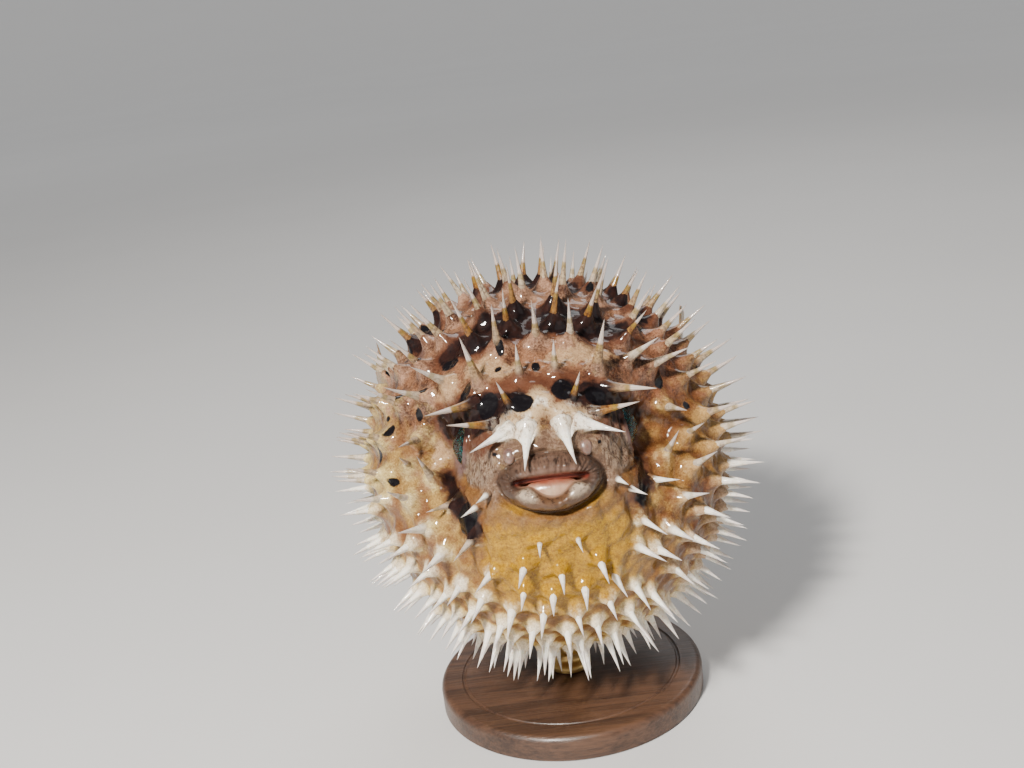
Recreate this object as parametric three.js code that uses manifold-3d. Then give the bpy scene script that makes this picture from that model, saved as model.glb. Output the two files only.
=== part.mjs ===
// Inflated long-spined porcupinefish, life size, on a round display stand.
// Millimetres, +Z up. The snout points to -Y, and the origin is the centre of the stand's underside.
import * as THREE from "three";
import { ConvexHull } from "three/addons/math/ConvexHull.js";
import { mergeVertices } from "three/addons/utils/BufferGeometryUtils.js";
import Module from "manifold-3d";

const wasm = await Module();
wasm.setup();

// ---------------------------------------------------------------- driving dimensions

const HALF_WIDTH = 38.5; // of the water-filled body, without spines
const HALF_LENGTH = 42;
const HALF_HEIGHT = 39.5;
const AXIS_TILT = 17; // degrees that mouth and tail sit above the level of the body's centre
const BODY_CENTRE = new THREE.Vector3(0, 0, 58); // above the stand's underside

const LIP_HALF_WIDTH = 13.8; // degrees, seen from the body's centre
const LIP_UPPER_SHARE = 0.52; // lip heights above and below the slit, as shares of the half width
const LIP_LOWER_SHARE = 0.63;
const GAPE_HALF_WIDTH = 9.7; // degrees
const GAPE_UPPER_SHARE = 0.1;
const GAPE_LOWER_SHARE = 0.46;
const LIP_RISE = 1.9;
const GAPE_DEPTH = 4.6;
const FACE_REACH = 43; // degrees from the mouth at which the rings round it have become circles

const EYE = { radius: 5.4, centre: new THREE.Vector3(13.2, -27, 15.8), gap: 0.3 };

const TAIL_RISE = 13; // how far the tail stub stands out of the body
const TAIL_SPREAD = 7.2; // degrees, half width of the stub
const CUT_GAP = 0.3; // between neighbouring pieces
const FAR = 120; // beyond the whole fish

// How the fish is parted: head and tail are plugs whose sides run out from the body's centre, between the
// spines, and whose inner ends lie at a depth; the trunk is parted level.
const HEAD_CUT = { elevation: 35, halfAngle: 55, depth: 13 };
const TAIL_CUT = { halfAngle: 10.5, depth: 37 };
const BELLY_CUT = { height: 2.5, angle: 86.3 }; // angle: of the cut's edge from straight up
const CUT_MARGIN = 2.7; // degrees that a spine's root keeps from a cut

const STAND = {
  baseRadius: 31,
  baseHeight: 6,
  edgeRounding: 1.6,
  rodRadius: 2.5,
  collarRadius: 5,
  collarHeight: 4,
  rodDepthInBody: 5,
};

// Rounded forms that stand out of the body, or sink into it: where they are centred, how wide, and how high.
const FACE_FORMS = [
  { part: "muzzle", azimuth: 0, elevation: 17, width: 20, rise: 4.4 },
  { part: "snout bridge", azimuth: 0, elevation: 36, width: 12, rise: 1.2 },
  { part: "chin", azimuth: 0, elevation: -6, width: 13, rise: -1.0 },
  { part: "temple", azimuth: 21, elevation: 27, width: 8, rise: 1.0, paired: true },
  { part: "brow", azimuth: 28, elevation: 44, width: 9, rise: 1.4, paired: true },
  { part: "hollow behind the eye", azimuth: 40, elevation: 22.5, width: 13.5, rise: -8.6, paired: true },
  { part: "cheek crease", azimuth: 33, elevation: 8, width: 8, rise: -1.6, paired: true },
  { part: "jowl crease", azimuth: 27, elevation: -4, width: 8, rise: -1.2, paired: true },
  { part: "jowl", azimuth: 55, elevation: 2, width: 16, rise: 0.9, paired: true },
];

// The spines of the head, in pairs: where each is rooted and where it points, as azimuth and elevation in
// degrees, and how long it is.
const HEAD_SPINES = [
  { part: "central snout", root: [5, 30], pointing: [8, -32], length: 10 },
  { part: "outer snout", root: [10.5, 30], pointing: [60, -10], length: 9.5 },
  { part: "before the eye", root: [16, 32], pointing: [66, 14], length: 10 },
  { part: "over the eye", root: [24.5, 38.5], pointing: [50, 5], length: 12 },
  { part: "small forehead", root: [10.5, 37], pointing: [38, 62], length: 6.8 },
  { part: "tall forehead", root: [23, 44], pointing: [26, 66], length: 12.5 },
  { part: "middle forehead", root: [7, 46], pointing: [4, 70], length: 8 },
  { part: "behind the eye", root: [40, 45], pointing: [48, 34], length: 11 },
  { part: "upper cheek", root: [17.5, 14], pointing: [32, -3], length: 4.2 },
  { part: "cheek", root: [21, 10.5], pointing: [46, -8], length: 4.8 },
  { part: "outer cheek", root: [33, 8.5], pointing: [58, 4], length: 6.5 },
  { part: "chin", root: [4.8, 1], pointing: [8, -24], length: 4.4 },
  { part: "jowl", root: [24, 0.5], pointing: [38, -14], length: 7.5 },
];

// The other spines stand in rows round the mouth, closest on the belly.
const SPINE_ROWS = { first: 24.5, step: 8.5, count: 19, seed: 7 };
const SPINE_SPACING = { belly: 6.3, back: 7.8 };
const SPINE_FOOT = 1.5; // half width of a spine's three-sided foot
const SPINE_SUNK = 2.2;
const SPINE_LENGTH = { belly: 8.4, back: 10.2, foreheadExtra: 2.2, tailLess: 3.4, chinLess: 1.2 };
const SPINE_WANDER = 0.14; // of a row's step, how far a root strays from its place
const SPINE_SWAY = 7; // degrees that a spine strays from upright
const SPINE_CLEARANCE = 6; // degrees between a row's spine and the head's own spines
const BARE_FACE = { elevation: 24.5, halfWidth: 41, halfHeight: 30.5 }; // where only the head's own grow

// Bare skin round the fins, where no spine would have room: azimuth, elevation and half width.
const BARE_PATCHES = [
  [121, 19, 16],
  [-121, 19, 16],
  [180, 34, 8],
  [180, -9, 8],
  [180, AXIS_TILT, 14],
];

// ---------------------------------------------------------------- small helpers

const radians = (degrees) => (degrees * Math.PI) / 180;
const lerp = THREE.MathUtils.lerp;
const smooth = (low, high, value) => THREE.MathUtils.smoothstep(value, low, high);

// Unit vector. Azimuth turns from the snout towards +X, and elevation is above the level.
function towards(azimuth, elevation) {
  const [a, e] = [radians(azimuth), radians(elevation)];
  return new THREE.Vector3(Math.cos(e) * Math.sin(a), -Math.cos(e) * Math.cos(a), Math.sin(e));
}

// 1 at the centre, falling smoothly to nothing about twice the width away.
function bump(direction, centre, widthDegrees) {
  const squaredAngle = 2 * (1 - direction.dot(centre));
  return Math.exp(-squaredAngle / radians(widthDegrees) ** 2);
}

// A repeatable stray value from -1 to 1 for each key.
function stray(key) {
  const value = Math.sin(key * 12.9898 + SPINE_ROWS.seed) * 43758.5453;
  return 2 * (value - Math.floor(value)) - 1;
}

function solidOf(geometry) {
  const plain = geometry.clone();
  plain.deleteAttribute("normal");
  plain.deleteAttribute("uv");
  const merged = mergeVertices(plain, 1e-4);
  return new wasm.Manifold(
    new wasm.Mesh({
      numProp: 3,
      vertProperties: merged.attributes.position.array,
      triVerts: new Uint32Array(merged.index.array),
    }),
  );
}

function geometryOf(solid) {
  const mesh = solid.getMesh();
  const positions = new Float32Array(mesh.numVert * 3);
  for (let i = 0; i < mesh.numVert; i++)
    positions.set(mesh.vertProperties.subarray(i * mesh.numProp, i * mesh.numProp + 3), i * 3);
  const geometry = new THREE.BufferGeometry();
  geometry.setAttribute("position", new THREE.BufferAttribute(positions, 3));
  geometry.setIndex(new THREE.BufferAttribute(mesh.triVerts, 1));
  geometry.computeVertexNormals();
  return geometry;
}

// The largest body of a solid: thin cuts can leave the tip of a spine loose, and it is dropped.
function largestBody(solid) {
  return solid.decompose().sort((a, b) => b.volume() - a.volume())[0];
}

// Matrix that puts local +Z along `up` and local +X as near to `side` as it can be, at `origin`.
function frameAt(origin, up, side) {
  const z = up.clone().normalize();
  const y = new THREE.Vector3().crossVectors(z, side).normalize();
  const x = new THREE.Vector3().crossVectors(y, z);
  return new THREE.Matrix4().makeBasis(x, y, z).setPosition(origin);
}

// A plug whose sides run out from the origin at an angle to a direction, from `depth` outwards.
function plug(direction, halfAngle, depth, grown, segments) {
  const slope = Math.tan(radians(halfAngle));
  const widening = grown / Math.cos(radians(halfAngle));
  const start = depth - grown;
  const [wide, narrow] = [FAR, start].map((distance) => distance * slope + widening);
  const cone = new THREE.CylinderGeometry(wide, narrow, FAR - start, segments);
  cone.translate(0, (FAR + start) / 2, 0).rotateX(Math.PI / 2);
  return solidOf(cone.applyMatrix4(frameAt(new THREE.Vector3(), direction, new THREE.Vector3(1, 0, 0))));
}

// Everything further than `distance` from the origin in a direction.
function regionBeyond(direction, distance) {
  const box = new THREE.BoxGeometry(2 * FAR, 2 * FAR, 2 * FAR).translate(0, 0, FAR + distance);
  return solidOf(box.applyMatrix4(frameAt(new THREE.Vector3(), direction, new THREE.Vector3(1, 0, 0))));
}

// ---------------------------------------------------------------- the body's surface

const MOUTH_DIRECTION = towards(0, AXIS_TILT);
const TAIL_DIRECTION = towards(180, AXIS_TILT);

const FACE_BUMPS = FACE_FORMS.flatMap((form) =>
  (form.paired ? [1, -1] : [1]).map((side) => ({
    centre: towards(side * form.azimuth, form.elevation),
    width: form.width,
    rise: form.rise,
  })),
);

function tailStub(direction) {
  const angle = THREE.MathUtils.radToDeg(direction.angleTo(TAIL_DIRECTION));
  return TAIL_RISE / (1 + (angle / TAIL_SPREAD) ** 3.2);
}

// Distance from the body's centre to the skin in a direction.
function bodyRadius(direction) {
  const { x, y, z } = direction;
  const ball = 1 / Math.hypot(x / HALF_WIDTH, y / HALF_LENGTH, z / HALF_HEIGHT);
  const forms = FACE_BUMPS.reduce((sum, f) => sum + f.rise * bump(direction, f.centre, f.width), 0);
  return ball + forms + tailStub(direction);
}

// Half height of a ring round the mouth, in radians: first the gape's outline, then the lips', then circles.
function ringHalfHeight(ring, upper) {
  const [gape, lip, face] = [GAPE_HALF_WIDTH, LIP_HALF_WIDTH, FACE_REACH].map(radians);
  const gapeShare = upper ? GAPE_UPPER_SHARE : GAPE_LOWER_SHARE;
  const lipShare = upper ? LIP_UPPER_SHARE : LIP_LOWER_SHARE;
  if (ring < gape) return ring * gapeShare;
  if (ring < lip) return lerp(gape * gapeShare, lip * lipShare, (ring - gape) / (lip - gape));
  return ring * lerp(lipShare, 1, smooth(lip, face, ring));
}

// Direction of a point of the skin's net. Rings run from the mouth (0) to the tail (pi); turns start at +X.
function netDirection(ring, turn) {
  const across = ring * Math.cos(turn);
  const along = ring < radians(FACE_REACH) ? ringHalfHeight(ring, Math.sin(turn) > 0) : ring;
  const up = along * Math.sin(turn);
  const angle = Math.hypot(across, up);
  const heading = Math.atan2(up, across);
  const sine = Math.sin(angle);
  const point = new THREE.Vector3(sine * Math.cos(heading), -Math.cos(angle), sine * Math.sin(heading));
  point.z += Math.tan(radians(AXIS_TILT));
  return point.normalize();
}

// How far the lips stand out, and the gape goes in, along the mouth's direction.
function lipRise(ring) {
  const [gape, lip] = [GAPE_HALF_WIDTH, LIP_HALF_WIDTH].map(radians);
  if (ring <= gape) return -GAPE_DEPTH * (1 - smooth(gape * 0.7, gape, ring));
  const across = (ring - gape) / (lip - gape);
  if (across >= 1) return -0.7 * (1 - smooth(1, 1.5, across));
  return LIP_RISE * Math.sin(Math.PI * across ** 0.75) - 0.7 * smooth(0.7, 1, across);
}

function skinPoint(ring, turn) {
  const direction = netDirection(ring, turn);
  const point = direction.clone().multiplyScalar(bodyRadius(direction));
  return point.addScaledVector(MOUTH_DIRECTION, lipRise(ring));
}

// ---------------------------------------------------------------- spines

function outwardNormal(direction) {
  const step = 0.02;
  const side = new THREE.Vector3(0, 0, 1).cross(direction).normalize();
  const up = new THREE.Vector3().crossVectors(direction, side);
  const place = (offset, amount) => {
    const moved = direction.clone().addScaledVector(offset, amount).normalize();
    return moved.multiplyScalar(bodyRadius(moved));
  };
  const alongSide = place(side, step).sub(place(side, -step));
  const alongUp = place(up, step).sub(place(up, -step));
  return alongSide.cross(alongUp).normalize();
}

function spineLength(direction) {
  const base = lerp(SPINE_LENGTH.belly, SPINE_LENGTH.back, smooth(-0.5, 0.5, direction.z));
  return (
    base +
    SPINE_LENGTH.foreheadExtra * bump(direction, towards(0, 72), 30) -
    SPINE_LENGTH.tailLess * bump(direction, TAIL_DIRECTION, 30) -
    SPINE_LENGTH.chinLess * bump(direction, towards(0, -8), 16)
  );
}

// Direction at an angle from the mouth, on a true circle round it; turns start at +X.
function roundMouth(angle, turn) {
  const sine = Math.sin(angle);
  const point = new THREE.Vector3(sine * Math.cos(turn), -Math.cos(angle), sine * Math.sin(turn));
  return point.applyAxisAngle(new THREE.Vector3(1, 0, 0), -radians(AXIS_TILT));
}

// Turns along one row, spaced by distance over the skin: closer on the belly than on the back.
function rowTurns(ring, offset) {
  const samples = 360;
  const reach = [0];
  for (let i = 1; i <= samples; i++) {
    const [before, after] = [i - 1, i].map((j) => roundMouth(ring, (2 * Math.PI * j) / samples));
    const spacing = lerp(SPINE_SPACING.belly, SPINE_SPACING.back, smooth(-0.4, 0.5, after.z));
    reach.push(reach[i - 1] + (before.distanceTo(after) * bodyRadius(after)) / spacing);
  }
  const count = Math.round(reach[samples]);
  return Array.from({ length: count }, (_, i) => {
    const wanted = ((i + offset) / count) * reach[samples];
    const index = reach.findIndex((value) => value >= wanted);
    const share = index > 0 ? (wanted - reach[index - 1]) / (reach[index] - reach[index - 1]) : 0;
    return (2 * Math.PI * (Math.max(index, 1) - 1 + share)) / samples;
  });
}

// Moves a root off a cut that circles an axis at an angle.
function clearOfCut(place, axis, cutAngle) {
  const off = place.angleTo(axis) - radians(cutAngle);
  if (Math.abs(off) >= radians(CUT_MARGIN)) return place;
  const angle = radians(cutAngle) + (off < 0 ? -1 : 1) * radians(CUT_MARGIN);
  const outward = place.clone().addScaledVector(axis, -place.dot(axis)).normalize();
  return outward.multiplyScalar(Math.sin(angle)).addScaledVector(axis, Math.cos(angle));
}

function inBareSkin(place) {
  const elevation = THREE.MathUtils.radToDeg(Math.asin(place.z));
  const azimuth = THREE.MathUtils.radToDeg(Math.atan2(place.x, -place.y)) * Math.cos(radians(elevation));
  const { elevation: middle, halfWidth, halfHeight } = BARE_FACE;
  if (Math.hypot(azimuth / halfWidth, (elevation - middle) / halfHeight) < 1) return true;
  if (BARE_PATCHES.some(([a, e, width]) => place.angleTo(towards(a, e)) < radians(width))) return true;
  return place.z < 0 && Math.hypot(place.x, place.y) * HALF_HEIGHT < 4.6; // round the stand's rod
}

// Every spine of the body's rows.
function rowSpines() {
  const spines = [];
  const taken = headSpines().map(({ place }) => place);
  const sway = radians(SPINE_SWAY);
  const wander = SPINE_WANDER * radians(SPINE_ROWS.step);
  for (let row = 0; row < SPINE_ROWS.count; row++) {
    const ring = radians(SPINE_ROWS.first + row * SPINE_ROWS.step);
    rowTurns(ring, row % 2 ? 0.5 : 0).forEach((turn, i) => {
      const key = row * 100 + i;
      const moved = turn + (wander * stray(key + 0.25)) / Math.sin(ring);
      let place = roundMouth(ring + wander * stray(key), moved);
      place = clearOfCut(place, towards(0, HEAD_CUT.elevation), HEAD_CUT.halfAngle);
      place = clearOfCut(place, towards(0, 90), BELLY_CUT.angle);
      if (inBareSkin(place)) return;
      if (taken.some((other) => place.angleTo(other) < radians(SPINE_CLEARANCE))) return;
      const upright = outwardNormal(place);
      upright.x += sway * stray(key + 0.5);
      upright.y += sway * stray(key + 0.75);
      const length = spineLength(place) * (1 + 0.12 * stray(key + 0.6));
      spines.push({ place, pointing: upright.normalize(), length });
    });
  }
  return spines;
}

function headSpines() {
  return HEAD_SPINES.flatMap(({ root, pointing, length }) =>
    [1, -1].map((side) => ({
      place: towards(side * root[0], root[1]),
      pointing: towards(side * pointing[0], pointing[1]),
      length,
    })),
  );
}

// A pointed three-sided spine of the head, rooted in the body.
function spineSolid({ place, pointing, length }) {
  const height = length + SPINE_SUNK;
  const radius = SPINE_FOOT * Math.min(1.15, 0.5 + length / 14);
  const cone = new THREE.ConeGeometry(radius, height, 3, 1);
  cone.translate(0, height / 2 - SPINE_SUNK, 0).rotateX(Math.PI / 2);
  const root = place.clone().multiplyScalar(bodyRadius(place));
  return solidOf(cone.applyMatrix4(frameAt(root, pointing, new THREE.Vector3(1, 0.2, 0.1))));
}

// ---------------------------------------------------------------- the flesh, with the spines of the rows

const TURNS = 28;
const LIP_RINGS = [6.6, 8.6, 9.7, 10.6, 12, 13.2, 14.2, 17.5, 21.5, 25.5]; // degrees from the mouth
const FACE_RINGS = [30, 35, 40.5, 47];
const TAIL_RINGS = [0.01, 2.5, 5.5, 8, 10.8, 14.5]; // degrees from the tail
const TAIL_TURNS = 14;

const onSkin = (direction) => direction.clone().multiplyScalar(bodyRadius(direction));

// Directions at a small angle round another, `count` of them.
function circleRound(direction, angle, count, start = 0) {
  const side = new THREE.Vector3(0, 0, 1).cross(direction).normalize();
  const up = new THREE.Vector3().crossVectors(direction, side);
  return Array.from({ length: count }, (_, i) => {
    const turn = start + (2 * Math.PI * i) / count;
    const offset = side.clone().multiplyScalar(Math.cos(turn)).addScaledVector(up, Math.sin(turn));
    return direction.clone().addScaledVector(offset, Math.tan(angle)).normalize();
  });
}

// Places of bare skin that the rows leave open: the face, the tail stub and the fins' surroundings.
function bareSkinPlaces(spines) {
  const face = FACE_RINGS.flatMap((ring) =>
    Array.from({ length: TURNS }, (_, i) => netDirection(radians(ring), (2 * Math.PI * i) / TURNS)),
  );
  const tail = TAIL_RINGS.flatMap((angle) => circleRound(TAIL_DIRECTION, radians(angle), TAIL_TURNS));
  const fins = BARE_PATCHES.slice(0, -1).flatMap(([azimuth, elevation, width]) => {
    const middle = towards(azimuth, elevation);
    return [middle, ...circleRound(middle, radians(width * 0.55), 6)];
  });
  const clearOf = (others, place, angle) => others.every((other) => place.angleTo(other) > radians(angle));
  const roots = spines.map(({ place }) => place);
  const open = [...face, ...fins].filter((place) => clearOf(roots, place, 5));
  const apart = open.filter((place, i) => clearOf(open.slice(0, i), place, 3));
  return [...apart, ...tail.slice(TAIL_TURNS - 1)];
}

// Closed surface of the fish about the body's centre. The lips and the snout are a net of rings; from there
// on the skin is spanned between the feet of the spines, and each foot is drawn out into its spine.
function fleshGeometry(spines) {
  const positions = [skinPoint(0, 0)];
  const faces = [];
  const at = (ring, i) => 1 + ring * TURNS + (i % TURNS);
  for (const ring of LIP_RINGS)
    for (let i = 0; i < TURNS; i++) positions.push(skinPoint(radians(ring), (2 * Math.PI * i) / TURNS));
  for (let i = 0; i < TURNS; i++) {
    faces.push(0, at(0, i), at(0, i + 1));
    for (let ring = 0; ring < LIP_RINGS.length - 1; ring++) {
      faces.push(at(ring, i), at(ring + 1, i), at(ring + 1, i + 1));
      faces.push(at(ring, i), at(ring + 1, i + 1), at(ring, i + 1));
    }
  }

  const points = new Map(); // each direction's place in `positions`, and the spine whose foot it is of
  const place = (direction, position, spine) => {
    positions.push(position);
    points.set(direction, { index: positions.length - 1, spine });
  };
  const outerRing = LIP_RINGS.length - 1;
  for (let i = 0; i < TURNS; i++) {
    const direction = netDirection(radians(LIP_RINGS[outerRing]), (2 * Math.PI * i) / TURNS);
    points.set(direction, { index: at(outerRing, i), rim: true });
  }
  for (const direction of bareSkinPlaces(spines)) place(direction, onSkin(direction));
  spines.forEach((spine, number) => {
    const foot = circleRound(spine.place, SPINE_FOOT / HALF_HEIGHT, 3, number);
    foot.forEach((direction) => place(direction, onSkin(direction), spine));
  });

  for (const { edge } of new ConvexHull().setFromPoints([...points.keys()]).faces) {
    const corners = [edge, edge.next, edge.next.next].map((side) => points.get(side.head().point));
    if (corners.every(({ rim }) => rim)) continue;
    const [a, b, c] = corners.map(({ index }) => index);
    const { spine } = corners[0];
    if (!spine || corners.some((corner) => corner.spine !== spine)) {
      faces.push(a, b, c);
      continue;
    }
    const tip = positions.push(onSkin(spine.place).addScaledVector(spine.pointing, spine.length)) - 1;
    faces.push(a, b, tip, b, c, tip, c, a, tip);
  }
  return new THREE.BufferGeometry().setFromPoints(positions).setIndex(faces);
}

// ---------------------------------------------------------------- fins

// Fan-shaped fins: where each leaves the body and where its rays point, as azimuth and elevation in degrees,
// and the size of its fan.
const FINS = {
  fin_pectoral_left: { root: [-112, 20], pointing: [-166, 9], base: 9.5, length: 17, spread: 27 },
  fin_pectoral_right: { root: [112, 20], pointing: [166, 9], base: 9.5, length: 17, spread: 27 },
  fin_dorsal: { root: [180, 35], pointing: [180, 29], base: 9, length: 15, spread: 19 },
  fin_anal: { root: [180, -6], pointing: [180, -25], base: 7.5, length: 12, spread: 18 },
  fin_caudal: { root: [180, AXIS_TILT], pointing: [180, AXIS_TILT], base: 8, length: 17, spread: 17 },
};
const FIN_THICKNESS = 0.9;
const FIN_ROOT_DEPTH = 2.2;

// Outline of a fan in its own plane: base on the X axis, rays towards +Y, a rounded outer edge.
function fanShape({ base, length, spread }, grown) {
  const outline = new THREE.Shape();
  const edge = 12;
  const halfBase = base / 2 + grown;
  outline.moveTo(-halfBase, -FIN_ROOT_DEPTH - grown);
  outline.lineTo(halfBase, -FIN_ROOT_DEPTH - grown);
  outline.lineTo(halfBase, 0);
  for (let i = 0; i <= edge; i++) {
    const share = 1 - (2 * i) / edge;
    const angle = radians(spread) * share;
    const reach = length * (1 - 0.14 * Math.abs(share) ** 3);
    const x = (base / 2) * share * 0.86 + reach * Math.sin(angle);
    outline.lineTo(x + grown * 1.5 * share, reach * Math.cos(angle) + grown);
  }
  outline.lineTo(-halfBase, 0);
  return outline;
}

// A fin's own frame: X along its base line, Y along its rays.
function finFrame({ root, pointing }) {
  const direction = towards(...root);
  const along = towards(...pointing);
  const paired = Math.abs(root[0]) < 180;
  const baseLine = paired ? new THREE.Vector3(0, 0, 1) : new THREE.Vector3(1, 0, 0).cross(along);
  const x = baseLine.addScaledVector(along, -baseLine.dot(along)).normalize();
  const z = new THREE.Vector3().crossVectors(x, along);
  direction.multiplyScalar(bodyRadius(direction) - 0.4);
  return new THREE.Matrix4().makeBasis(x, along, z).setPosition(direction);
}

// A fin, or with `grown` the room that it needs in the body and between the spines.
function finSolid(fin, grown = 0) {
  const thickness = FIN_THICKNESS + 2 * grown;
  const plate = new THREE.ExtrudeGeometry(fanShape(fin, grown), { depth: thickness, bevelEnabled: false });
  plate.translate(0, 0, -thickness / 2);
  return solidOf(plate.applyMatrix4(finFrame(fin)));
}

// ---------------------------------------------------------------- eyes, beak, nasal flaps

function ellipsoid(radii, grown, widthSegments, heightSegments) {
  const sphere = new THREE.SphereGeometry(1, widthSegments, heightSegments);
  return sphere.scale(...radii.map((r) => r + grown));
}

function eyeSolid(side, grown = 0) {
  const ball = ellipsoid([EYE.radius, EYE.radius, EYE.radius], grown, 14, 10);
  return solidOf(ball.translate(side * EYE.centre.x, EYE.centre.y, EYE.centre.z));
}

// Small forms set in the face: radii across, up and out, and how deep each is set in the skin.
const FACE_PIECES = {
  beak_upper: { towards: [0, 18.3], radii: [4.6, 1.1, 2.6], sunk: 3.4 },
  beak_lower: { towards: [0, 13.3], radii: [4.6, 2.2, 2.6], sunk: 2.8 },
  nasal_flap_left: { towards: [-10.5, 23.8], radii: [1.4, 1.8, 0.9], sunk: 0.2 },
  nasal_flap_right: { towards: [10.5, 23.8], radii: [1.4, 1.8, 0.9], sunk: 0.2 },
};

function facePiece({ towards: place, radii, sunk }, grown = 0) {
  const direction = towards(...place);
  const centre = direction.clone().multiplyScalar(bodyRadius(direction) - sunk);
  const frame = frameAt(centre, direction, new THREE.Vector3(1, 0, 0));
  return solidOf(ellipsoid(radii, grown, 10, 7).applyMatrix4(frame));
}

// ---------------------------------------------------------------- the fish, parted with thin cuts

// How far below the body's centre the skin is, straight under it.
const bellyDepth = () => bodyRadius(new THREE.Vector3(0, 0, -1));

function rodHole() {
  const depth = STAND.rodDepthInBody + CUT_GAP;
  const radius = STAND.rodRadius + CUT_GAP;
  const hole = new THREE.CylinderGeometry(radius, radius, 4 * depth, 20);
  return solidOf(hole.rotateX(Math.PI / 2).translate(0, 0, -bellyDepth() - depth));
}

function fleshSolids() {
  const whole = wasm.Manifold.union([solidOf(fleshGeometry(rowSpines())), ...headSpines().map(spineSolid)]);
  const cutters = [
    ...Object.values(FINS).map((fin) => finSolid(fin, CUT_GAP)),
    ...[-1, 1].map((side) => eyeSolid(side, EYE.gap)),
    ...Object.values(FACE_PIECES).map((piece) => facePiece(piece, CUT_GAP)),
    rodHole(),
  ];
  const carved = whole.subtract(wasm.Manifold.union(cutters));

  const up = new THREE.Vector3(0, 0, 1);
  const headPlug = (grown) =>
    plug(towards(0, HEAD_CUT.elevation), HEAD_CUT.halfAngle, HEAD_CUT.depth, grown, 32);
  const tailPlug = (grown) => plug(TAIL_DIRECTION, TAIL_CUT.halfAngle, TAIL_CUT.depth, grown, 16);
  const trunk = carved.subtract(headPlug(CUT_GAP)).subtract(tailPlug(CUT_GAP));
  const pieces = {
    head: carved.intersect(headPlug(0)),
    back: trunk.intersect(regionBeyond(up, BELLY_CUT.height)),
    belly: trunk.subtract(regionBeyond(up, BELLY_CUT.height - CUT_GAP)),
    tail: carved.intersect(tailPlug(0)),
  };
  return Object.entries(pieces).map(([name, piece]) => [name, largestBody(piece)]);
}

// ---------------------------------------------------------------- stand

function standBase() {
  const { baseRadius: radius, baseHeight: height, edgeRounding: round } = STAND;
  const profile = [new THREE.Vector2(0, 0), new THREE.Vector2(radius, 0)];
  for (let i = 0; i <= 3; i++) {
    const angle = (Math.PI / 2) * (i / 3);
    profile.push(
      new THREE.Vector2(radius - round * (1 - Math.cos(angle)), height - round * (1 - Math.sin(angle))),
    );
  }
  profile.push(new THREE.Vector2(0, height));
  return new THREE.LatheGeometry(profile, 44).rotateX(Math.PI / 2);
}

function standCollar() {
  const { rodRadius, collarRadius, collarHeight } = STAND;
  const inner = rodRadius + CUT_GAP;
  const profile = [
    [inner, 0],
    [collarRadius, 0],
    [collarRadius, collarHeight * 0.35],
    [collarRadius * 0.72, collarHeight * 0.6],
    [collarRadius * 0.68, collarHeight],
    [inner, collarHeight],
    [inner, 0],
  ].map(([x, y]) => new THREE.Vector2(x, y));
  return new THREE.LatheGeometry(profile, 20).rotateX(Math.PI / 2);
}

function standRod() {
  const top = BODY_CENTRE.z - bellyDepth() + STAND.rodDepthInBody;
  const bottom = STAND.baseHeight + CUT_GAP;
  const rod = new THREE.CylinderGeometry(STAND.rodRadius, STAND.rodRadius, top - bottom, 20);
  return rod.rotateX(Math.PI / 2).translate(0, 0, (top + bottom) / 2);
}

// ---------------------------------------------------------------- materials and assembly

const material = (color, roughness, metalness = 0) =>
  new THREE.MeshStandardMaterial({ color, roughness, metalness });

const MATERIALS = {
  skin: material(0xc09c78, 0.35),
  eye: material(0x2c4436, 0.1),
  beak: material(0xe6dccb, 0.3),
  flap: material(0xb08a80, 0.4),
  fin: material(0xa08a58, 0.45),
  wood: material(0x3a2418, 0.4),
  brass: material(0xb08d4a, 0.3, 1),
};

const fish = new THREE.Group();
fish.position.copy(BODY_CENTRE);
const stand = new THREE.Group();
const part = new THREE.Group();
part.add(fish, stand);

function addMesh(group, name, geometry, finish) {
  const mesh = new THREE.Mesh(geometry, finish);
  mesh.name = name;
  group.add(mesh);
}

for (const [name, solid] of fleshSolids()) addMesh(fish, name, geometryOf(solid), MATERIALS.skin);
for (const [name, side] of [["eye_left", -1], ["eye_right", 1]])
  addMesh(fish, name, geometryOf(eyeSolid(side)), MATERIALS.eye);
for (const [name, piece] of Object.entries(FACE_PIECES))
  addMesh(fish, name, geometryOf(facePiece(piece)), MATERIALS[name.startsWith("beak") ? "beak" : "flap"]);
for (const [name, fin] of Object.entries(FINS))
  addMesh(fish, name, geometryOf(finSolid(fin)), MATERIALS.fin);

addMesh(stand, "stand_base", standBase(), MATERIALS.wood);
const collar = standCollar();
addMesh(stand, "stand_collar", collar.translate(0, 0, STAND.baseHeight + CUT_GAP), MATERIALS.brass);
addMesh(stand, "stand_rod", standRod(), MATERIALS.brass);

export default part;
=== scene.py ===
"""Dresses the inflated porcupinefish: skin, spines, eyes, beak, fins, stand, light and camera.

Sizes are in millimetres about the body's centre unless a name says otherwise, and are turned into metres
of the row frame when a mesh is made. The fish faces -Y, +Z is up, and azimuths turn from the snout towards
+X. Directions and places on the skin are unit vectors from the body's centre.
"""

import logging
import math
from dataclasses import dataclass
from enum import Enum
from typing import Iterable, Sequence

import bpy
import numpy as np
from mathutils import Matrix, Vector


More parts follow.
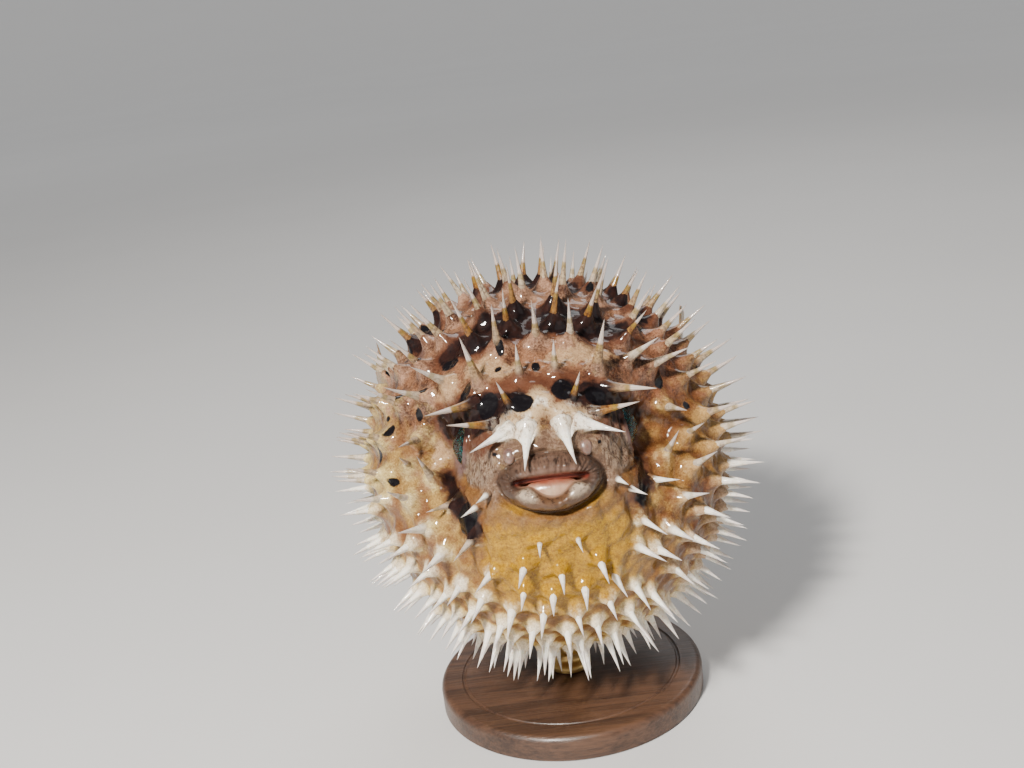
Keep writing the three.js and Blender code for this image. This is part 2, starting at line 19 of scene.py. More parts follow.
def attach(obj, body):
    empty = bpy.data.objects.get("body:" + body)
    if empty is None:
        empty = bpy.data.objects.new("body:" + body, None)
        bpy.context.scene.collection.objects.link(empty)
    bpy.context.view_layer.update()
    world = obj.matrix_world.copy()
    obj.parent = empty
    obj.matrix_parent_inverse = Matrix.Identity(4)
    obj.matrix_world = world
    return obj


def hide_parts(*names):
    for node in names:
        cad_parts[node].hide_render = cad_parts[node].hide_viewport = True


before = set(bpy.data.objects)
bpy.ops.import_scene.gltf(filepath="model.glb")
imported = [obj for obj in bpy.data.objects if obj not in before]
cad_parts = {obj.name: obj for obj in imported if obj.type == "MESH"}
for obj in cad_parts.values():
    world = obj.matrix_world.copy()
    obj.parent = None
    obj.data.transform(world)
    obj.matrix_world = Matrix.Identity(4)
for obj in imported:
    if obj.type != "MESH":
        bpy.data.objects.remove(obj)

LOG = logging.getLogger("porcupinefish")
MM = 0.001
HALF = 0.5
DISC_RADIUS = 0.48  # of the skin on the OFBake map
MARK_RADIUS = 40  # distance from the centre at which the marks on the skin are measured
FAR_MM = 30.0  # the furthest that a mark is told from
COLOR_SOCKET = "NodeSocketColor"
FLOAT_SOCKET = "NodeSocketFloat"
Triple = tuple[float, float, float]
Color = Triple
Array = np.ndarray
Socket = bpy.types.NodeSocket
Tree = bpy.types.NodeTree
Material = bpy.types.Material
Piece = bpy.types.Object


# ---- helpers


def towards(azimuth: float | Array, elevation: float | Array) -> Array:
    """Gives unit directions from the body's centre."""
    a, e = np.radians(azimuth), np.radians(elevation)
    return np.stack([np.cos(e) * np.sin(a), -np.cos(e) * np.cos(a), np.sin(e) + 0 * a], axis=-1)


def smooth(low: float, high: float, value: Array | float) -> Array:
    """Rises smoothly from 0 at low to 1 at high."""
    t = np.clip((value - low) / (high - low), 0, 1)
    return t * t * (3 - 2 * t)


def bump(directions: Array, centre: Array, width: float) -> Array:
    """Is 1 at centre and falls smoothly to nothing about twice width (in degrees) away."""
    return np.exp(-2 * (1 - directions @ centre) / math.radians(width) ** 2)


def unit(vectors: Array) -> Array:
    """Scales vectors to length 1."""
    return vectors / np.linalg.norm(vectors, axis=-1, keepdims=True)


def tangents(normals: Array) -> tuple[Array, Array]:
    """Gives the sideways and the upward direction along a surface with these normals."""
    side = unit(np.cross(np.array([0.0, 0.0, 1.0]), normals))
    return side, np.cross(normals, side)


def stray(key: float, seed: int = 7) -> float:
    """Gives a repeatable stray value from -1 to 1 for each key."""
    value = math.sin(key * 12.9898 + seed) * 43758.5453
    return 2 * (value - math.floor(value)) - 1


def ripple(points: Array, wavelength: float, seed: int) -> Array:
    """Gives a smooth, repeatable, noise-like field from about -1 to 1.

    Args:
        points: places, in millimetres.
        wavelength: typical distance between crests, in millimetres.
        seed: picks another field.

    Returns:
        One value for each point.
    """
    total = np.zeros(len(points))
    for wave in range(7):
        key = seed * 31 + wave * 5
        heading = unit(np.array([stray(key), stray(key + 1), stray(key + 2)]))
        pace = 2 * math.pi / (wavelength * (1 + 0.45 * stray(key + 3)))
        total += np.sin(points @ heading * pace + 9 * stray(key + 4))
    return total / 3.2


# ---- the body's form


@dataclass(frozen=True)
class Form:
    """A rounded form that stands out of the body or sinks into it."""

    part: str
    azimuth: float
    elevation: float
    width: float
    rise: float
    paired: bool = False


@dataclass(frozen=True)
class BodyShape:
    """The water-filled body without its spines, as a distance from its centre in each direction."""

    half_width: float = 38.5
    half_length: float = 42.0
    half_height: float = 39.5
    centre_height: float = 58.0
    axis_tilt: float = 17.0
    lip_half_width: float = 13.8
    lip_shares: tuple[float, float] = (0.52, 0.63)
    gape_half_width: float = 9.7
    gape_shares: tuple[float, float] = (0.13, 0.38)
    gape_depth: float = 4.0
    face_reach: float = 43.0
    tail_rise: float = 13.0
    tail_spread: float = 7.2
    tail_taper: float = 3.2
    normal_step: float = 0.02
    forms: tuple[Form, ...] = (
        Form("muzzle", 0, 17, 20, 4.4),
        Form("snout bridge", 0, 36, 12, 1.2),
        Form("chin", 0, -6, 13, -1.0),
        Form("temple", 21, 27, 8, 1.0, True),
        Form("brow", 28, 44, 9, 1.4, True),
        Form("hollow behind the eye", 40, 22.5, 13.5, -8.6, True),
        Form("cheek crease", 33, 8, 8, -1.6, True),
        Form("jowl crease", 27, -4, 8, -1.2, True),
        Form("jowl", 55, 2, 16, 0.9, True),
    )

    @property
    def mouth(self) -> Array:
        """Direction of the mouth."""
        return towards(0, self.axis_tilt)

    @property
    def tail(self) -> Array:
        """Direction of the tail."""
        return towards(180, self.axis_tilt)

    def radius(self, directions: Array) -> Array:
        """Gives the skin's distance from the centre in each direction.

        Args:
            directions: unit directions.

        Returns:
            One distance for each.
        """
        sizes = np.array([self.half_width, self.half_length, self.half_height])
        total = 1 / np.linalg.norm(directions / sizes, axis=-1)
        for form in self.forms:
            for side in (1, -1) if form.paired else (1,):
                centre = towards(side * form.azimuth, form.elevation)
                total = total + form.rise * bump(directions, centre, form.width)
        angle = np.degrees(np.arccos(np.clip(directions @ self.tail, -1, 1)))
        return total + self.tail_rise / (1 + (angle / self.tail_spread) ** self.tail_taper)

    def surface(self, directions: Array) -> Array:
        """Gives the points of the plain body in these directions."""
        return directions * self.radius(directions)[..., None]

    def normals(self, directions: Array) -> Array:
        """Gives the plain body's outward normals in these directions.

        Args:
            directions: unit directions.

        Returns:
            One normal for each.
        """
        step = self.normal_step
        side, up = tangents(directions)
        across = self.surface(unit(directions + step * side)) - self.surface(unit(directions - step * side))
        along = self.surface(unit(directions + step * up)) - self.surface(unit(directions - step * up))
        return unit(np.cross(across, along))

    def direction_at(self, ring: Array, turn: Array) -> Array:
        """Gives the direction of points of the skin's net.

        Args:
            ring: radians from the mouth (0) to the tail (pi), measured sideways.
            turn: radians round the body, starting at +X.

        Returns:
            Unit directions. Rings near the mouth have the gape's and the lips' outlines, and then grow round.
        """
        edges = (self.gape_half_width, self.lip_half_width, self.face_reach)
        gape, lip, face = (math.radians(edge) for edge in edges)
        upper = np.sin(turn) > 0
        gape_share = np.where(upper, *self.gape_shares)
        lip_share = np.where(upper, *self.lip_shares)
        in_lip = gape * gape_share + (lip * lip_share - gape * gape_share) * (ring - gape) / (lip - gape)
        in_face = ring * (lip_share + (1 - lip_share) * smooth(lip, face, ring))
        zones = [ring < gape, ring < lip, ring < face]
        half_height = np.select(zones, [ring * gape_share, in_lip, in_face], ring)
        across, up = ring * np.cos(turn), half_height * np.sin(turn)
        angle, heading = np.hypot(across, up), np.arctan2(up, across)
        x, z = np.sin(angle) * np.cos(heading), np.sin(angle) * np.sin(heading)
        point = np.stack([x, -np.cos(angle), z], axis=-1)
        point[..., 2] += math.tan(math.radians(self.axis_tilt))
        return unit(point)

    def to_frame(self, points: Array) -> Array:
        """Turns millimetres about the body's centre into metres of the row frame."""
        return (points + np.array([0, 0, self.centre_height])) * MM


BODY = BodyShape()


# ---- spines, as a plan


class Region(Enum):
    """The pieces that the fish is parted into."""

    HEAD = "head"
    BACK = "back"
    BELLY = "belly"
    TAIL = "tail"


@dataclass(frozen=True)
class HeadSpine:
    """A pair of head spines: root and pointing as azimuth and elevation, and the look of each."""

    part: str
    root: tuple[float, float]
    pointing: tuple[float, float]
    length: float
    girth: float = 1.0
    white: float = 0.0
    amber: float = 0.0
    sheath: float = 0.6
    mound: float = 1.0
    flesh: float = 0.5
    reach: float = 1.9


@dataclass
class Spine:
    """One spine of the fish, in millimetres about the body's centre."""

    place: Array
    root: Array
    pointing: Array
    length: float
    region: Region
    key: float
    girth: float = 1.0
    white: float = 0.0
    amber: float = 0.0
    sheath: float = 0.6
    mound: float = 1.0
    web: float = 0.15
    flesh: float = 0.5
    reach: float = 1.9


@dataclass(frozen=True)
class SpinePlan:
    """Where the spines stand: rows round the mouth, and the head's own pairs."""

    first_ring: float = 24.5
    ring_step: float = 8.5
    rows: int = 19
    belly_spacing: float = 6.3
    back_spacing: float = 7.8
    belly_length: float = 8.4
    back_length: float = 10.2
    wander: float = 0.14
    sway: float = 7.0
    clearance: float = 6.0
    bare_face: Triple = (24.5, 41, 30.5)
    bare_patches: tuple[Triple, ...] = (
        (121, 19, 16),
        (-121, 19, 16),
        (180, 34, 8),
        (180, -9, 8),
        (180, BODY.axis_tilt, 14),
    )
    bare_below: float = 4.6
    head_cut: tuple[float, float] = (35, 55)
    belly_cut: float = 86.3
    cut_margin: float = 2.7
    head_spines: tuple[HeadSpine, ...] = (
        HeadSpine("central snout", (5, 30), (8, -32), 10, 1.3, 1, 0, 0.72, 1.7, 1.6, 1.75),
        HeadSpine("outer snout", (10.5, 30), (60, -10), 9.5, 1.2, 1, 0, 0.5, 1.7, 1.4, 1.65),
        HeadSpine("before the eye", (16, 32), (66, 14), 10, 1.2, 0, 1, 0.55, 0.8, 0.4),
        HeadSpine("over the eye", (24.5, 38.5), (50, 5), 12, 1.35, 0.35, 0.1, 0.5, 1.3, 0.7),
        HeadSpine("small forehead", (10.5, 37), (38, 62), 6.8, 1.0, 0, 0.7, 0.55, 0.5, 0.2),
        HeadSpine("tall forehead", (23, 44), (26, 66), 12.5, 1.4, 0, 0.3, 0.55, 1.5, 0.9),
        HeadSpine("middle forehead", (7, 46), (4, 70), 8, 1.1, 0.1, 0.3, 0.55, 0.9, 0.5),
        HeadSpine("behind the eye", (40, 45), (48, 34), 11, 1.2, 0.3, 0.2, 0.55, 1.2, 0.9),
        HeadSpine("upper cheek", (17.5, 14), (32, -3), 4.2, 0.95, 1, 0, 0.8, 0.6, 0.2),
        HeadSpine("cheek", (21, 10.5), (46, -8), 4.8, 0.95, 1, 0, 0.8, 0.6, 0.2),
        HeadSpine("outer cheek", (33, 8.5), (58, 4), 6.5, 1.0, 0.9, 0, 0.75, 0.9, 0.7),
        HeadSpine("chin", (4.8, 1), (8, -24), 4.4, 0.85, 0.8, 0, 0.8, 0.7, 0.1),
        HeadSpine("jowl", (24, 0.5), (38, -14), 7.5, 1.0, 0.9, 0, 0.8, 0.9, 0.6),
    )

    def region_of(self, place: Array, root: Array) -> Region:
        """Names the piece that a spine belongs to."""
        if place @ towards(0, self.head_cut[0]) > math.cos(math.radians(self.head_cut[1])):
            return Region.HEAD
        return Region.BACK if root[2] > 2.5 else Region.BELLY

    def round_mouth(self, angle: float | Array, turn: float | Array) -> Array:
        """Gives the direction at an angle from the mouth, on a true circle round it.

        Args:
            angle: radians from the mouth.
            turn: radians round it, from +X.

        Returns:
            Unit directions.
        """
        across, up = np.sin(angle) * np.cos(turn), np.sin(angle) * np.sin(turn)
        ahead = np.cos(angle) + 0 * turn
        c, t = (f(math.radians(BODY.axis_tilt)) for f in (math.cos, math.sin))
        return np.stack([across, up * t - ahead * c, up * c + ahead * t], axis=-1)

    def clear_of_cut(self, place: Array, axis: Array, cut_angle: float) -> Array:
        """Moves a root off a cut that circles an axis at an angle.

        Args:
            place: the root's direction.
            axis: the axis of the cut.
            cut_angle: degrees from the axis to the cut.

        Returns:
            The direction, moved if it was too close.
        """
        off = math.acos(place @ axis) - math.radians(cut_angle)
        margin = math.radians(self.cut_margin)
        if abs(off) >= margin:
            return place
        angle = math.radians(cut_angle) + math.copysign(margin, off)
        return math.sin(angle) * unit(place - axis * (place @ axis)) + math.cos(angle) * axis

    def in_bare_skin(self, place: Array) -> bool:
        """Tells whether a place is in the face, beside a fin or round the stand's rod.

        Args:
            place: the root's direction.

        Returns:
            True where no row spine stands.
        """
        elevation = math.degrees(math.asin(place[2]))
        azimuth = math.degrees(math.atan2(place[0], -place[1])) * math.cos(math.radians(elevation))
        middle, half_width, half_height = self.bare_face
        if math.hypot(azimuth / half_width, (elevation - middle) / half_height) < 1:
            return True
        if any(place @ towards(a, e) > math.cos(math.radians(width)) for a, e, width in self.bare_patches):
            return True
        return bool(place[2] < 0 and math.hypot(place[0], place[1]) * BODY.half_height < self.bare_below)

    def row_turns(self, ring: float, offset: float) -> list[float]:
        """Spaces turns along one ring by distance over the skin, closer on the belly than on the back.

        Args:
            ring: the ring's angle from the mouth, in radians.
            offset: where the first spine stands, as a share of the spacing.

        Returns:
            The turns, in radians.
        """
        samples = 360
        turns = np.linspace(0, 2 * math.pi, samples + 1)
        places = self.round_mouth(np.full(samples + 1, ring), turns)
        widening = smooth(-0.4, 0.5, places[1:, 2])
        spacing = self.belly_spacing + (self.back_spacing - self.belly_spacing) * widening
        steps = np.linalg.norm(np.diff(places, axis=0), axis=1) * BODY.radius(places[1:]) / spacing
        reach = np.concatenate([[0.0], np.cumsum(steps)])
        count = round(reach[-1])
        wanted = (np.arange(count) + offset) / count * reach[-1]
        return list(np.interp(wanted, reach, turns))

    def length_at(self, place: Array) -> float:
        """Gives a row spine's length: longest on the forehead, shortest on the chin and near the tail.

        Args:
            place: the root's direction.

        Returns:
            The length.
        """
        base = self.belly_length + (self.back_length - self.belly_length) * smooth(-0.5, 0.5, place[2])
        base += 2.2 * bump(place, towards(0, 72), 30)
        base -= 3.4 * bump(place, BODY.tail, 30)
        return float(base - 1.2 * bump(place, towards(0, -8), 16))

    def row_spines(self) -> list[Spine]:
        """Gives the spines that stand in rows over the whole body.

        Returns:
            The spines, row after row.
        """
        spines = []
        taken = [towards(side * kind.root[0], kind.root[1]) for kind in self.head_spines for side in (1, -1)]
        near = math.cos(math.radians(self.clearance))
        roam = self.wander * math.radians(self.ring_step)
        sway = math.radians(self.sway)
        for row in range(self.rows):
            ring = math.radians(self.first_ring + row * self.ring_step)
            for i, turn in enumerate(self.row_turns(ring, 0.5 if row % 2 else 0)):
                key = row * 100 + i
                moved = turn + roam * stray(key + 0.25) / math.sin(ring)
                place = self.round_mouth(ring + roam * stray(key), moved)
                place = self.clear_of_cut(place, towards(0, self.head_cut[0]), self.head_cut[1])
                place = self.clear_of_cut(place, np.array([0.0, 0.0, 1.0]), self.belly_cut)
                if self.in_bare_skin(place) or any(place @ other > near for other in taken):
                    continue
                pointing = BODY.normals(place[None])[0]
                pointing = pointing + np.array([sway * stray(key + 0.5), sway * stray(key + 0.75), 0])
                length = self.length_at(place) * (1 + 0.12 * stray(key + 0.6))
                belly = float(smooth(0.3, -0.25, place[2]))
                root = BODY.surface(place[None])[0]
                own = Spine(place, root, unit(pointing), length, self.region_of(place, root), key)
                own.girth = (1 + 0.1 * stray(key + 0.7)) * (1 + 0.2 * belly)
                own.white = min(1, belly * 1.15 + 0.12 * (1 + stray(key + 0.35)))
                own.amber = max(0, 0.1 + 0.75 * stray(key + 0.45)) * (1 - belly)
                own.sheath = 0.58 + 0.08 * stray(key + 0.55)
                own.mound = 1.1 + 0.2 * belly
                own.web = 0.6 + 0.4 * belly
                own.flesh = 1.9 - 1.3 * belly
                own.reach = 2.35
                spines.append(own)
        return spines

    def face_spines(self) -> list[Spine]:
        """Gives the head's own spines, in pairs.

        Returns:
            The spines, pair after pair.
        """
        spines = []
        for number, kind in enumerate(self.head_spines):
            for side in (1, -1):
                place = towards(side * kind.root[0], kind.root[1])
                root = BODY.surface(place[None])[0]
                pointing = towards(side * kind.pointing[0], kind.pointing[1])
                key = 5000 + number * 2 + side
                own = Spine(place, root, pointing, kind.length, self.region_of(place, root), key)
                for look in ("girth", "white", "amber", "sheath", "mound", "flesh", "reach"):
                    setattr(own, look, getattr(kind, look))
                spines.append(own)
        return spines

    def all_spines(self) -> list[Spine]:
        """Gives every spine of the fish."""
        return self.row_spines() + self.face_spines()


# ---- markings


@dataclass(frozen=True)
class Oval:
    """An oval mark: place in degrees, half sizes in millimetres, leaning in degrees."""

    azimuth: float
    elevation: float
    half_width: float
    half_height: float
    lean: float = 0.0

    def inside(self, directions: Array) -> Array:
        """Measures how far places lie inside the mark's edge.

        Args:
            directions: unit directions.

        Returns:
            One distance in millimetres for each, negative outside.
        """
        centre = towards(self.azimuth, self.elevation)
        side, up = tangents(centre)
        u, v = (MARK_RADIUS * directions @ axis for axis in (side, up))
        c, s = math.cos(math.radians(self.lean)), math.sin(math.radians(self.lean))
        spread = np.hypot((u * c + v * s) / self.half_width, (v * c - u * s) / self.half_height)
        depth = (1 - spread) * min(self.half_width, self.half_height)
        return np.where(directions @ centre > 0, depth, -FAR_MM)


@dataclass(frozen=True)
class Band:
    """A band along a chain of places, each as azimuth, elevation and half width."""

    places: tuple[tuple[float, float, float], ...]

    def inside(self, directions: Array) -> Array:
        """Measures how far places lie inside the mark's edge.

        Args:
            directions: unit directions.

        Returns:
            One distance in millimetres for each, negative outside.
        """
        best = np.full(len(directions), -FAR_MM)
        for (a0, e0, w0), (a1, e1, w1) in zip(self.places, self.places[1:]):
            start, end = towards(a0, e0), towards(a1, e1)
            chord = end - start
            share = np.clip((directions - start) @ chord / (chord @ chord), 0, 1)
            nearest = start + share[:, None] * chord
            gap = MARK_RADIUS * np.linalg.norm(directions - nearest, axis=1)
            best = np.maximum(best, w0 + (w1 - w0) * share - gap)
        return best


def union(marks: Iterable[Oval | Band], directions: Array) -> Array:
    """Gives the distance inside the nearest of several marks.

    Args:
        marks: ovals and bands.
        directions: unit directions.

    Returns:
        One distance in millimetres for each direction, negative outside.
    """
    best = np.full(len(directions), -FAR_MM)
    for mark in marks:
        best = np.maximum(best, mark.inside(directions))
    return best


@dataclass(frozen=True)
class Markings:
    """The fish's pattern, as marks on its skin."""

    bars: tuple[Oval | Band, ...] = (
        Band(
            ((8, 39.6, 2.3), (13, 38, 2.6), (18.5, 36, 3.2), (25, 33.4, 3.4), (31.5, 31, 3.2), (39, 29, 2.8))
        ),
        Band(((-40, 33, 3.0), (-31, 34.5, 3.5), (-23, 35.2, 3.9), (-16, 36.2, 3.7), (-8, 37.6, 2.6))),
        Band(((-49, 53, 2.3), (-38, 59.5, 4.3), (-24, 64.7, 5.4), (-4, 68.5, 4.7), (20, 67, 5.2))),
        Band(((20, 67, 5.2), (36, 61, 5.1), (49, 54, 3.0))),
        Band(((34, 17, 1.2), (30.5, 12, 1.9), (26.4, 6.5, 2.3))),
        Band(((-40, 16, 1.1), (-36, 13, 1.7), (-30, 9.6, 2.2), (-25.8, 5.4, 2.4), (-23.8, 3.2, 2.0))),
        Oval(92, 57, 7.6, 4.6, 14),
        Oval(-92, 56, 7.6, 4.4, -14),
        Band(((104, 74, 2.2), (140, 78, 4.2), (180, 76, 5.2), (-140, 78, 4.2), (-104, 74, 2.2))),
        Oval(180, 37, 6.0, 7.5),
    )
    halo: tuple[Oval | Band, ...] = (
        Band(((-14, 42, 1.0), (0, 42.5, 1.7), (12, 43, 1.0))),
        Oval(-21.5, 29, 3.4, 2.6),
        Oval(20, 29.5, 2.2, 1.6),
    )
    cream: tuple[Oval, ...] = (
        Oval(-21, 49, 5.0, 2.6),
        Oval(15.5, 50.5, 3.7, 1.9),
        Oval(-39, 43, 3.2, 2.6),
        Oval(26, 48.5, 3.4, 2.2),
        Oval(-45.5, 23, 1.7, 4.2, -6),
    )
    spots: tuple[Oval, ...] = (
        Oval(-6.3, 37.2, 2.2, 1.8, 15),
        Oval(7.9, 39.6, 2.2, 2.2),
        Oval(-18.3, 37.4, 1.9, 2.7, -12),
        Oval(18.3, 36.2, 2.0, 2.3, 30),
        Oval(-27.9, 41.3, 1.25, 2.1, -18),
        Oval(-17.1, 55.4, 0.9, 1.6, 20),
        Oval(-0.3, 48.7, 0.85, 1.3),
        Oval(-16.5, 48.8, 0.8, 0.6, 35),
        Oval(-59.4, 48.4, 0.6, 0.9),
        Oval(-50.8, 41.6, 0.6, 0.9),
        Oval(-53.4, 34.1, 0.9, 1.5),
        Oval(-64.3, 26, 0.9, 1.5, 25),
        Oval(-56.6, 11.5, 1.3, 0.9),
        Oval(-68, 17, 0.8, 1.8),
        Oval(53.4, 35.8, 1.3, 2.0),
        Oval(60, 24, 0.7, 1.0),
        Oval(-25.8, 6.2, 2.2, 3.9, -25),
        Oval(26.4, 6.6, 1.9, 2.2),
        Oval(14.8, 24.1, 0.42, 0.36),
        Oval(-14.6, 24.1, 0.42, 0.36),
        Oval(-44, 51, 2.2, 1.5, 30),
    )
    white: tuple[Oval, ...] = (
        Oval(0, 32.2, 8.2, 2.8),
        Oval(-0.6, 36.6, 2.4, 3.2),
        Oval(5, 29.8, 1.7, 2.2),
        Oval(-5, 29.8, 1.7, 2.2),
        Oval(10.5, 30.5, 1.7, 1.9),
        Oval(-10.5, 30.5, 1.7, 1.9),
    )
    snout_pocket: Oval = Oval(0.8, 28.2, 1.6, 3.4, 8)
    beside_eye: tuple[Oval, ...] = (Oval(22.5, 23, 5.6, 5.6), Oval(-22.5, 23, 5.6, 5.6))
    muzzle: tuple[Oval, ...] = (
        Oval(0, 24.2, 10.6, 4.0),
        Oval(15.5, 17, 2.6, 4.2, 20),
        Oval(-15.5, 17, 2.6, 4.2, -20),
    )
    cheeks_and_lip_shadow: tuple[Oval, ...] = (
        Oval(23, 13, 6.0, 4.2, 35),
        Oval(-23, 13, 6.0, 4.2, -35),
        # painted shadow: a thin strip along the underside of the lower lip
        Oval(0, 7.6, 9.5, 1.1),
    )
    back_spots: int = 60

    def scattered(self) -> list[Oval]:
        """Gives the small spots strewn over the back and flanks behind the head.

        Returns:
            The spots, left and right in turn.
        """
        spots = []
        for i in range(self.back_spots):
            azimuth = 62 + 118 * ((i * 0.618034) % 1)
            elevation = math.degrees(math.asin(0.08 + 0.9 * (i + 0.5) / self.back_spots))
            side = 1 if i % 2 else -1
            size = 0.85 + 0.35 * stray(i + 0.1)
            tall = size * (1.3 + 0.3 * stray(i + 0.2))
            spots.append(Oval(side * azimuth, elevation, size, tall, 40 * stray(i)))
        return spots

    def measure(self, directions: Array) -> dict[str, Array]:
        """Measures the pattern.

        Args:
            directions: unit directions of points of the skin.

        Returns:
            Named values for each point: distances in millimetres inside marks, and blends from 0 to 1.
        """
        bar = union(self.bars, directions)
        under_lip = smooth(16, 9, np.degrees(np.arcsin(directions[:, 2])))
        return {
            "bar_mm": bar,
            "halo_mm": np.maximum(bar, union(self.halo, directions)),
            "spot_mm": union([*self.spots, *self.scattered()], directions),
            "white_mm": np.minimum(union(self.white, directions), -self.snout_pocket.inside(directions)),
            "beside_eye_mm": union(self.beside_eye, directions),
            "muzzle_mm": union(self.muzzle, directions),
            "cream_mm": union(self.cream, directions),
            "cheek_mm": union(self.cheeks_and_lip_shadow, directions),
            "height": directions[:, 2],
            "chin": bump(directions, towards(-1, -4), 22) * under_lip,
            "side": directions[:, 0],
        }


# ---- shader graphs


@dataclass(frozen=True)
class Grain:
    """A noise field: features per millimetre, fineness, roughness, and its squeeze along each axis."""

    scale: float
    detail: float = 3
    rough: float = 0.55
    squeeze: Triple = (1, 1, 1)


@dataclass(frozen=True)
class Fade:
    """How a value turns into a strength: where there is none, where it is full, and its most.

    The shake is how far a noise field moves the value first, so that the edge is uneven.
    """

    absent: float
    full: float
    most: float = 1.0
    shake: float = 0.0


@dataclass(frozen=True)
class Patches:
    """Two colours in soft patches: patches per millimetre, amount of fine grain, and share of each."""

    light: Color
    dark: Color
    scale: float
    grain: float = 0.35
    bias: float = 0.5


class Graph:
    """Adds nodes to a tree and joins them."""

    def __init__(self, tree: Tree) -> None:
        """Keeps the tree that nodes go into."""
        self.tree = tree
        self.squeezed: dict[Triple, Socket] = {}

    def add(self, kind: str, inputs: dict | None = None, **settings: object) -> bpy.types.Node:
        """Adds a node.

        Args:
            kind: the node's type name.
            inputs: values or sockets, by input name or number; a tuple of three is a colour or a vector.
            settings: properties of the node itself.

        Returns:
            The new node.
        """
        node = self.tree.nodes.new(kind)
        for name, value in settings.items():
            setattr(node, name, value)
        for name, value in (inputs or {}).items():
            socket = node.inputs[name]
            if isinstance(value, Socket):
                self.tree.links.new(value, socket)
            elif isinstance(value, tuple) and len(socket.default_value) > len(value):
                socket.default_value = (*value, 1)
            else:
                socket.default_value = value
        return node

    def math(self, operation: str, *values: object, clamp: bool = False) -> Socket:
        """Adds a Math node on up to three values or sockets and gives its result."""
        node = self.add("ShaderNodeMath", dict(enumerate(values)), operation=operation, use_clamp=clamp)
        return node.outputs[0]

    def times(self, first: object, second: object) -> Socket:
        """Multiplies two values or sockets."""
        return self.math("MULTIPLY", first, second)

    def less(self, first: object, second: object) -> Socket:
        """Takes the second value or socket from the first."""
        return self.math("SUBTRACT", first, second)

    def lift(self, base: object, value: object, factor: object, clamp: bool = False) -> Socket:
        """Adds value times factor to base."""
        return self.math("MULTIPLY_ADD", value, factor, base, clamp=clamp)

    def gap(self, value: object, middle: float) -> Socket:
        """Gives how far a value is from a middle."""
        return self.math("ABSOLUTE", self.less(value, middle))

    def mix(self, factor: object, first: object, second: object, blend: str = "MIX") -> Socket:
        """Mixes two colours and gives the result."""
        settings = {"data_type": "RGBA", "blend_type": blend, "clamp_result": True}
        return self.add("ShaderNodeMix", {0: factor, 6: first, 7: second}, **settings).outputs[2]

    def value(self, name: str) -> Socket:
        """Reads a value that the mesh carries at its points."""
        return self.add("ShaderNodeAttribute", attribute_name=name).outputs["Fac"]

    def fade(self, value: object, fade: Fade) -> Socket:
        """Turns a value, already shaken, into a strength that rises smoothly from 0 to the fade's most.

        Args:
            value: the value or socket.
            fade: where the strength starts, where it is full, and its most.

        Returns:
            The strength.
        """
        inputs = {"Value": value, "From Min": fade.absent, "From Max": fade.full}
        strength = self.add("ShaderNodeMapRange", inputs, interpolation_type="SMOOTHSTEP").outputs["Result"]
        return strength if fade.most == 1.0 else self.times(strength, fade.most)

    def places(self, squeeze: Triple = (1, 1, 1)) -> Socket:
        """Gives places on the object in millimetres, made once for each squeeze.

        Args:
            squeeze: how much closer features lie along each axis.

        Returns:
            The places.
        """
        if squeeze not in self.squeezed:
            coordinates = self.add("ShaderNodeTexCoord").outputs["Object"]
            inputs = {"Vector": coordinates, "Scale": tuple(s / MM for s in squeeze)}
            self.squeezed[squeeze] = self.add("ShaderNodeMapping", inputs).outputs["Vector"]
        return self.squeezed[squeeze]

    def noise(self, grain: Grain) -> Socket:
        """Adds a noise field, about 0.5 on average."""
        inputs = {"Scale": grain.scale, "Detail": grain.detail, "Roughness": grain.rough}
        return self.add("ShaderNodeTexNoise", {"Vector": self.places(grain.squeeze)} | inputs).outputs["Fac"]

    def group(self, tree: Tree, **values: object) -> bpy.types.Node:
        """Places a node group with its own values or sockets, named with _ for a space."""
        inputs = {name.replace("_", " "): value for name, value in values.items()}
        return self.add("ShaderNodeGroup", inputs, node_tree=tree)

    def patches(self, mottle: Tree, look: Patches) -> Socket:
        """Places the mottle group with a look's colours and gives the mixed colour."""
        inputs = {"Light": look.light, "Dark": look.dark, "Patch_Scale": look.scale}
        return self.group(mottle, **inputs, Grain=look.grain, Bias=look.bias).outputs["Color"]


class NodeGroup(Graph):
    """A shader node group in the making, with named inputs and outputs."""

    def __init__(self, name: str, inputs: dict[str, object], outputs: Sequence[str]) -> None:
        """Starts the group.

        Args:
            name: the group's name.
            inputs: default value of each named input; a tuple is a colour.
            outputs: names of the outputs; the one called Color is a colour.
        """
        super().__init__(bpy.data.node_groups.new(name, "ShaderNodeTree"))
        for key, value in inputs.items():
            kind = COLOR_SOCKET if isinstance(value, tuple) else FLOAT_SOCKET
            socket = self.tree.interface.new_socket(name=key, in_out="INPUT", socket_type=kind)
            socket.default_value = (*value, 1) if isinstance(value, tuple) else value
        for key in outputs:
            kind = COLOR_SOCKET if key == "Color" else FLOAT_SOCKET
            self.tree.interface.new_socket(name=key, in_out="OUTPUT", socket_type=kind)
        self.given = self.tree.nodes.new("NodeGroupInput").outputs
        self.end = self.tree.nodes.new("NodeGroupOutput")

    def put_out(self, **values: Socket) -> None:
        """Links values to the group's named outputs."""
        for name, socket in values.items():
            self.tree.links.new(socket, self.end.inputs[name])


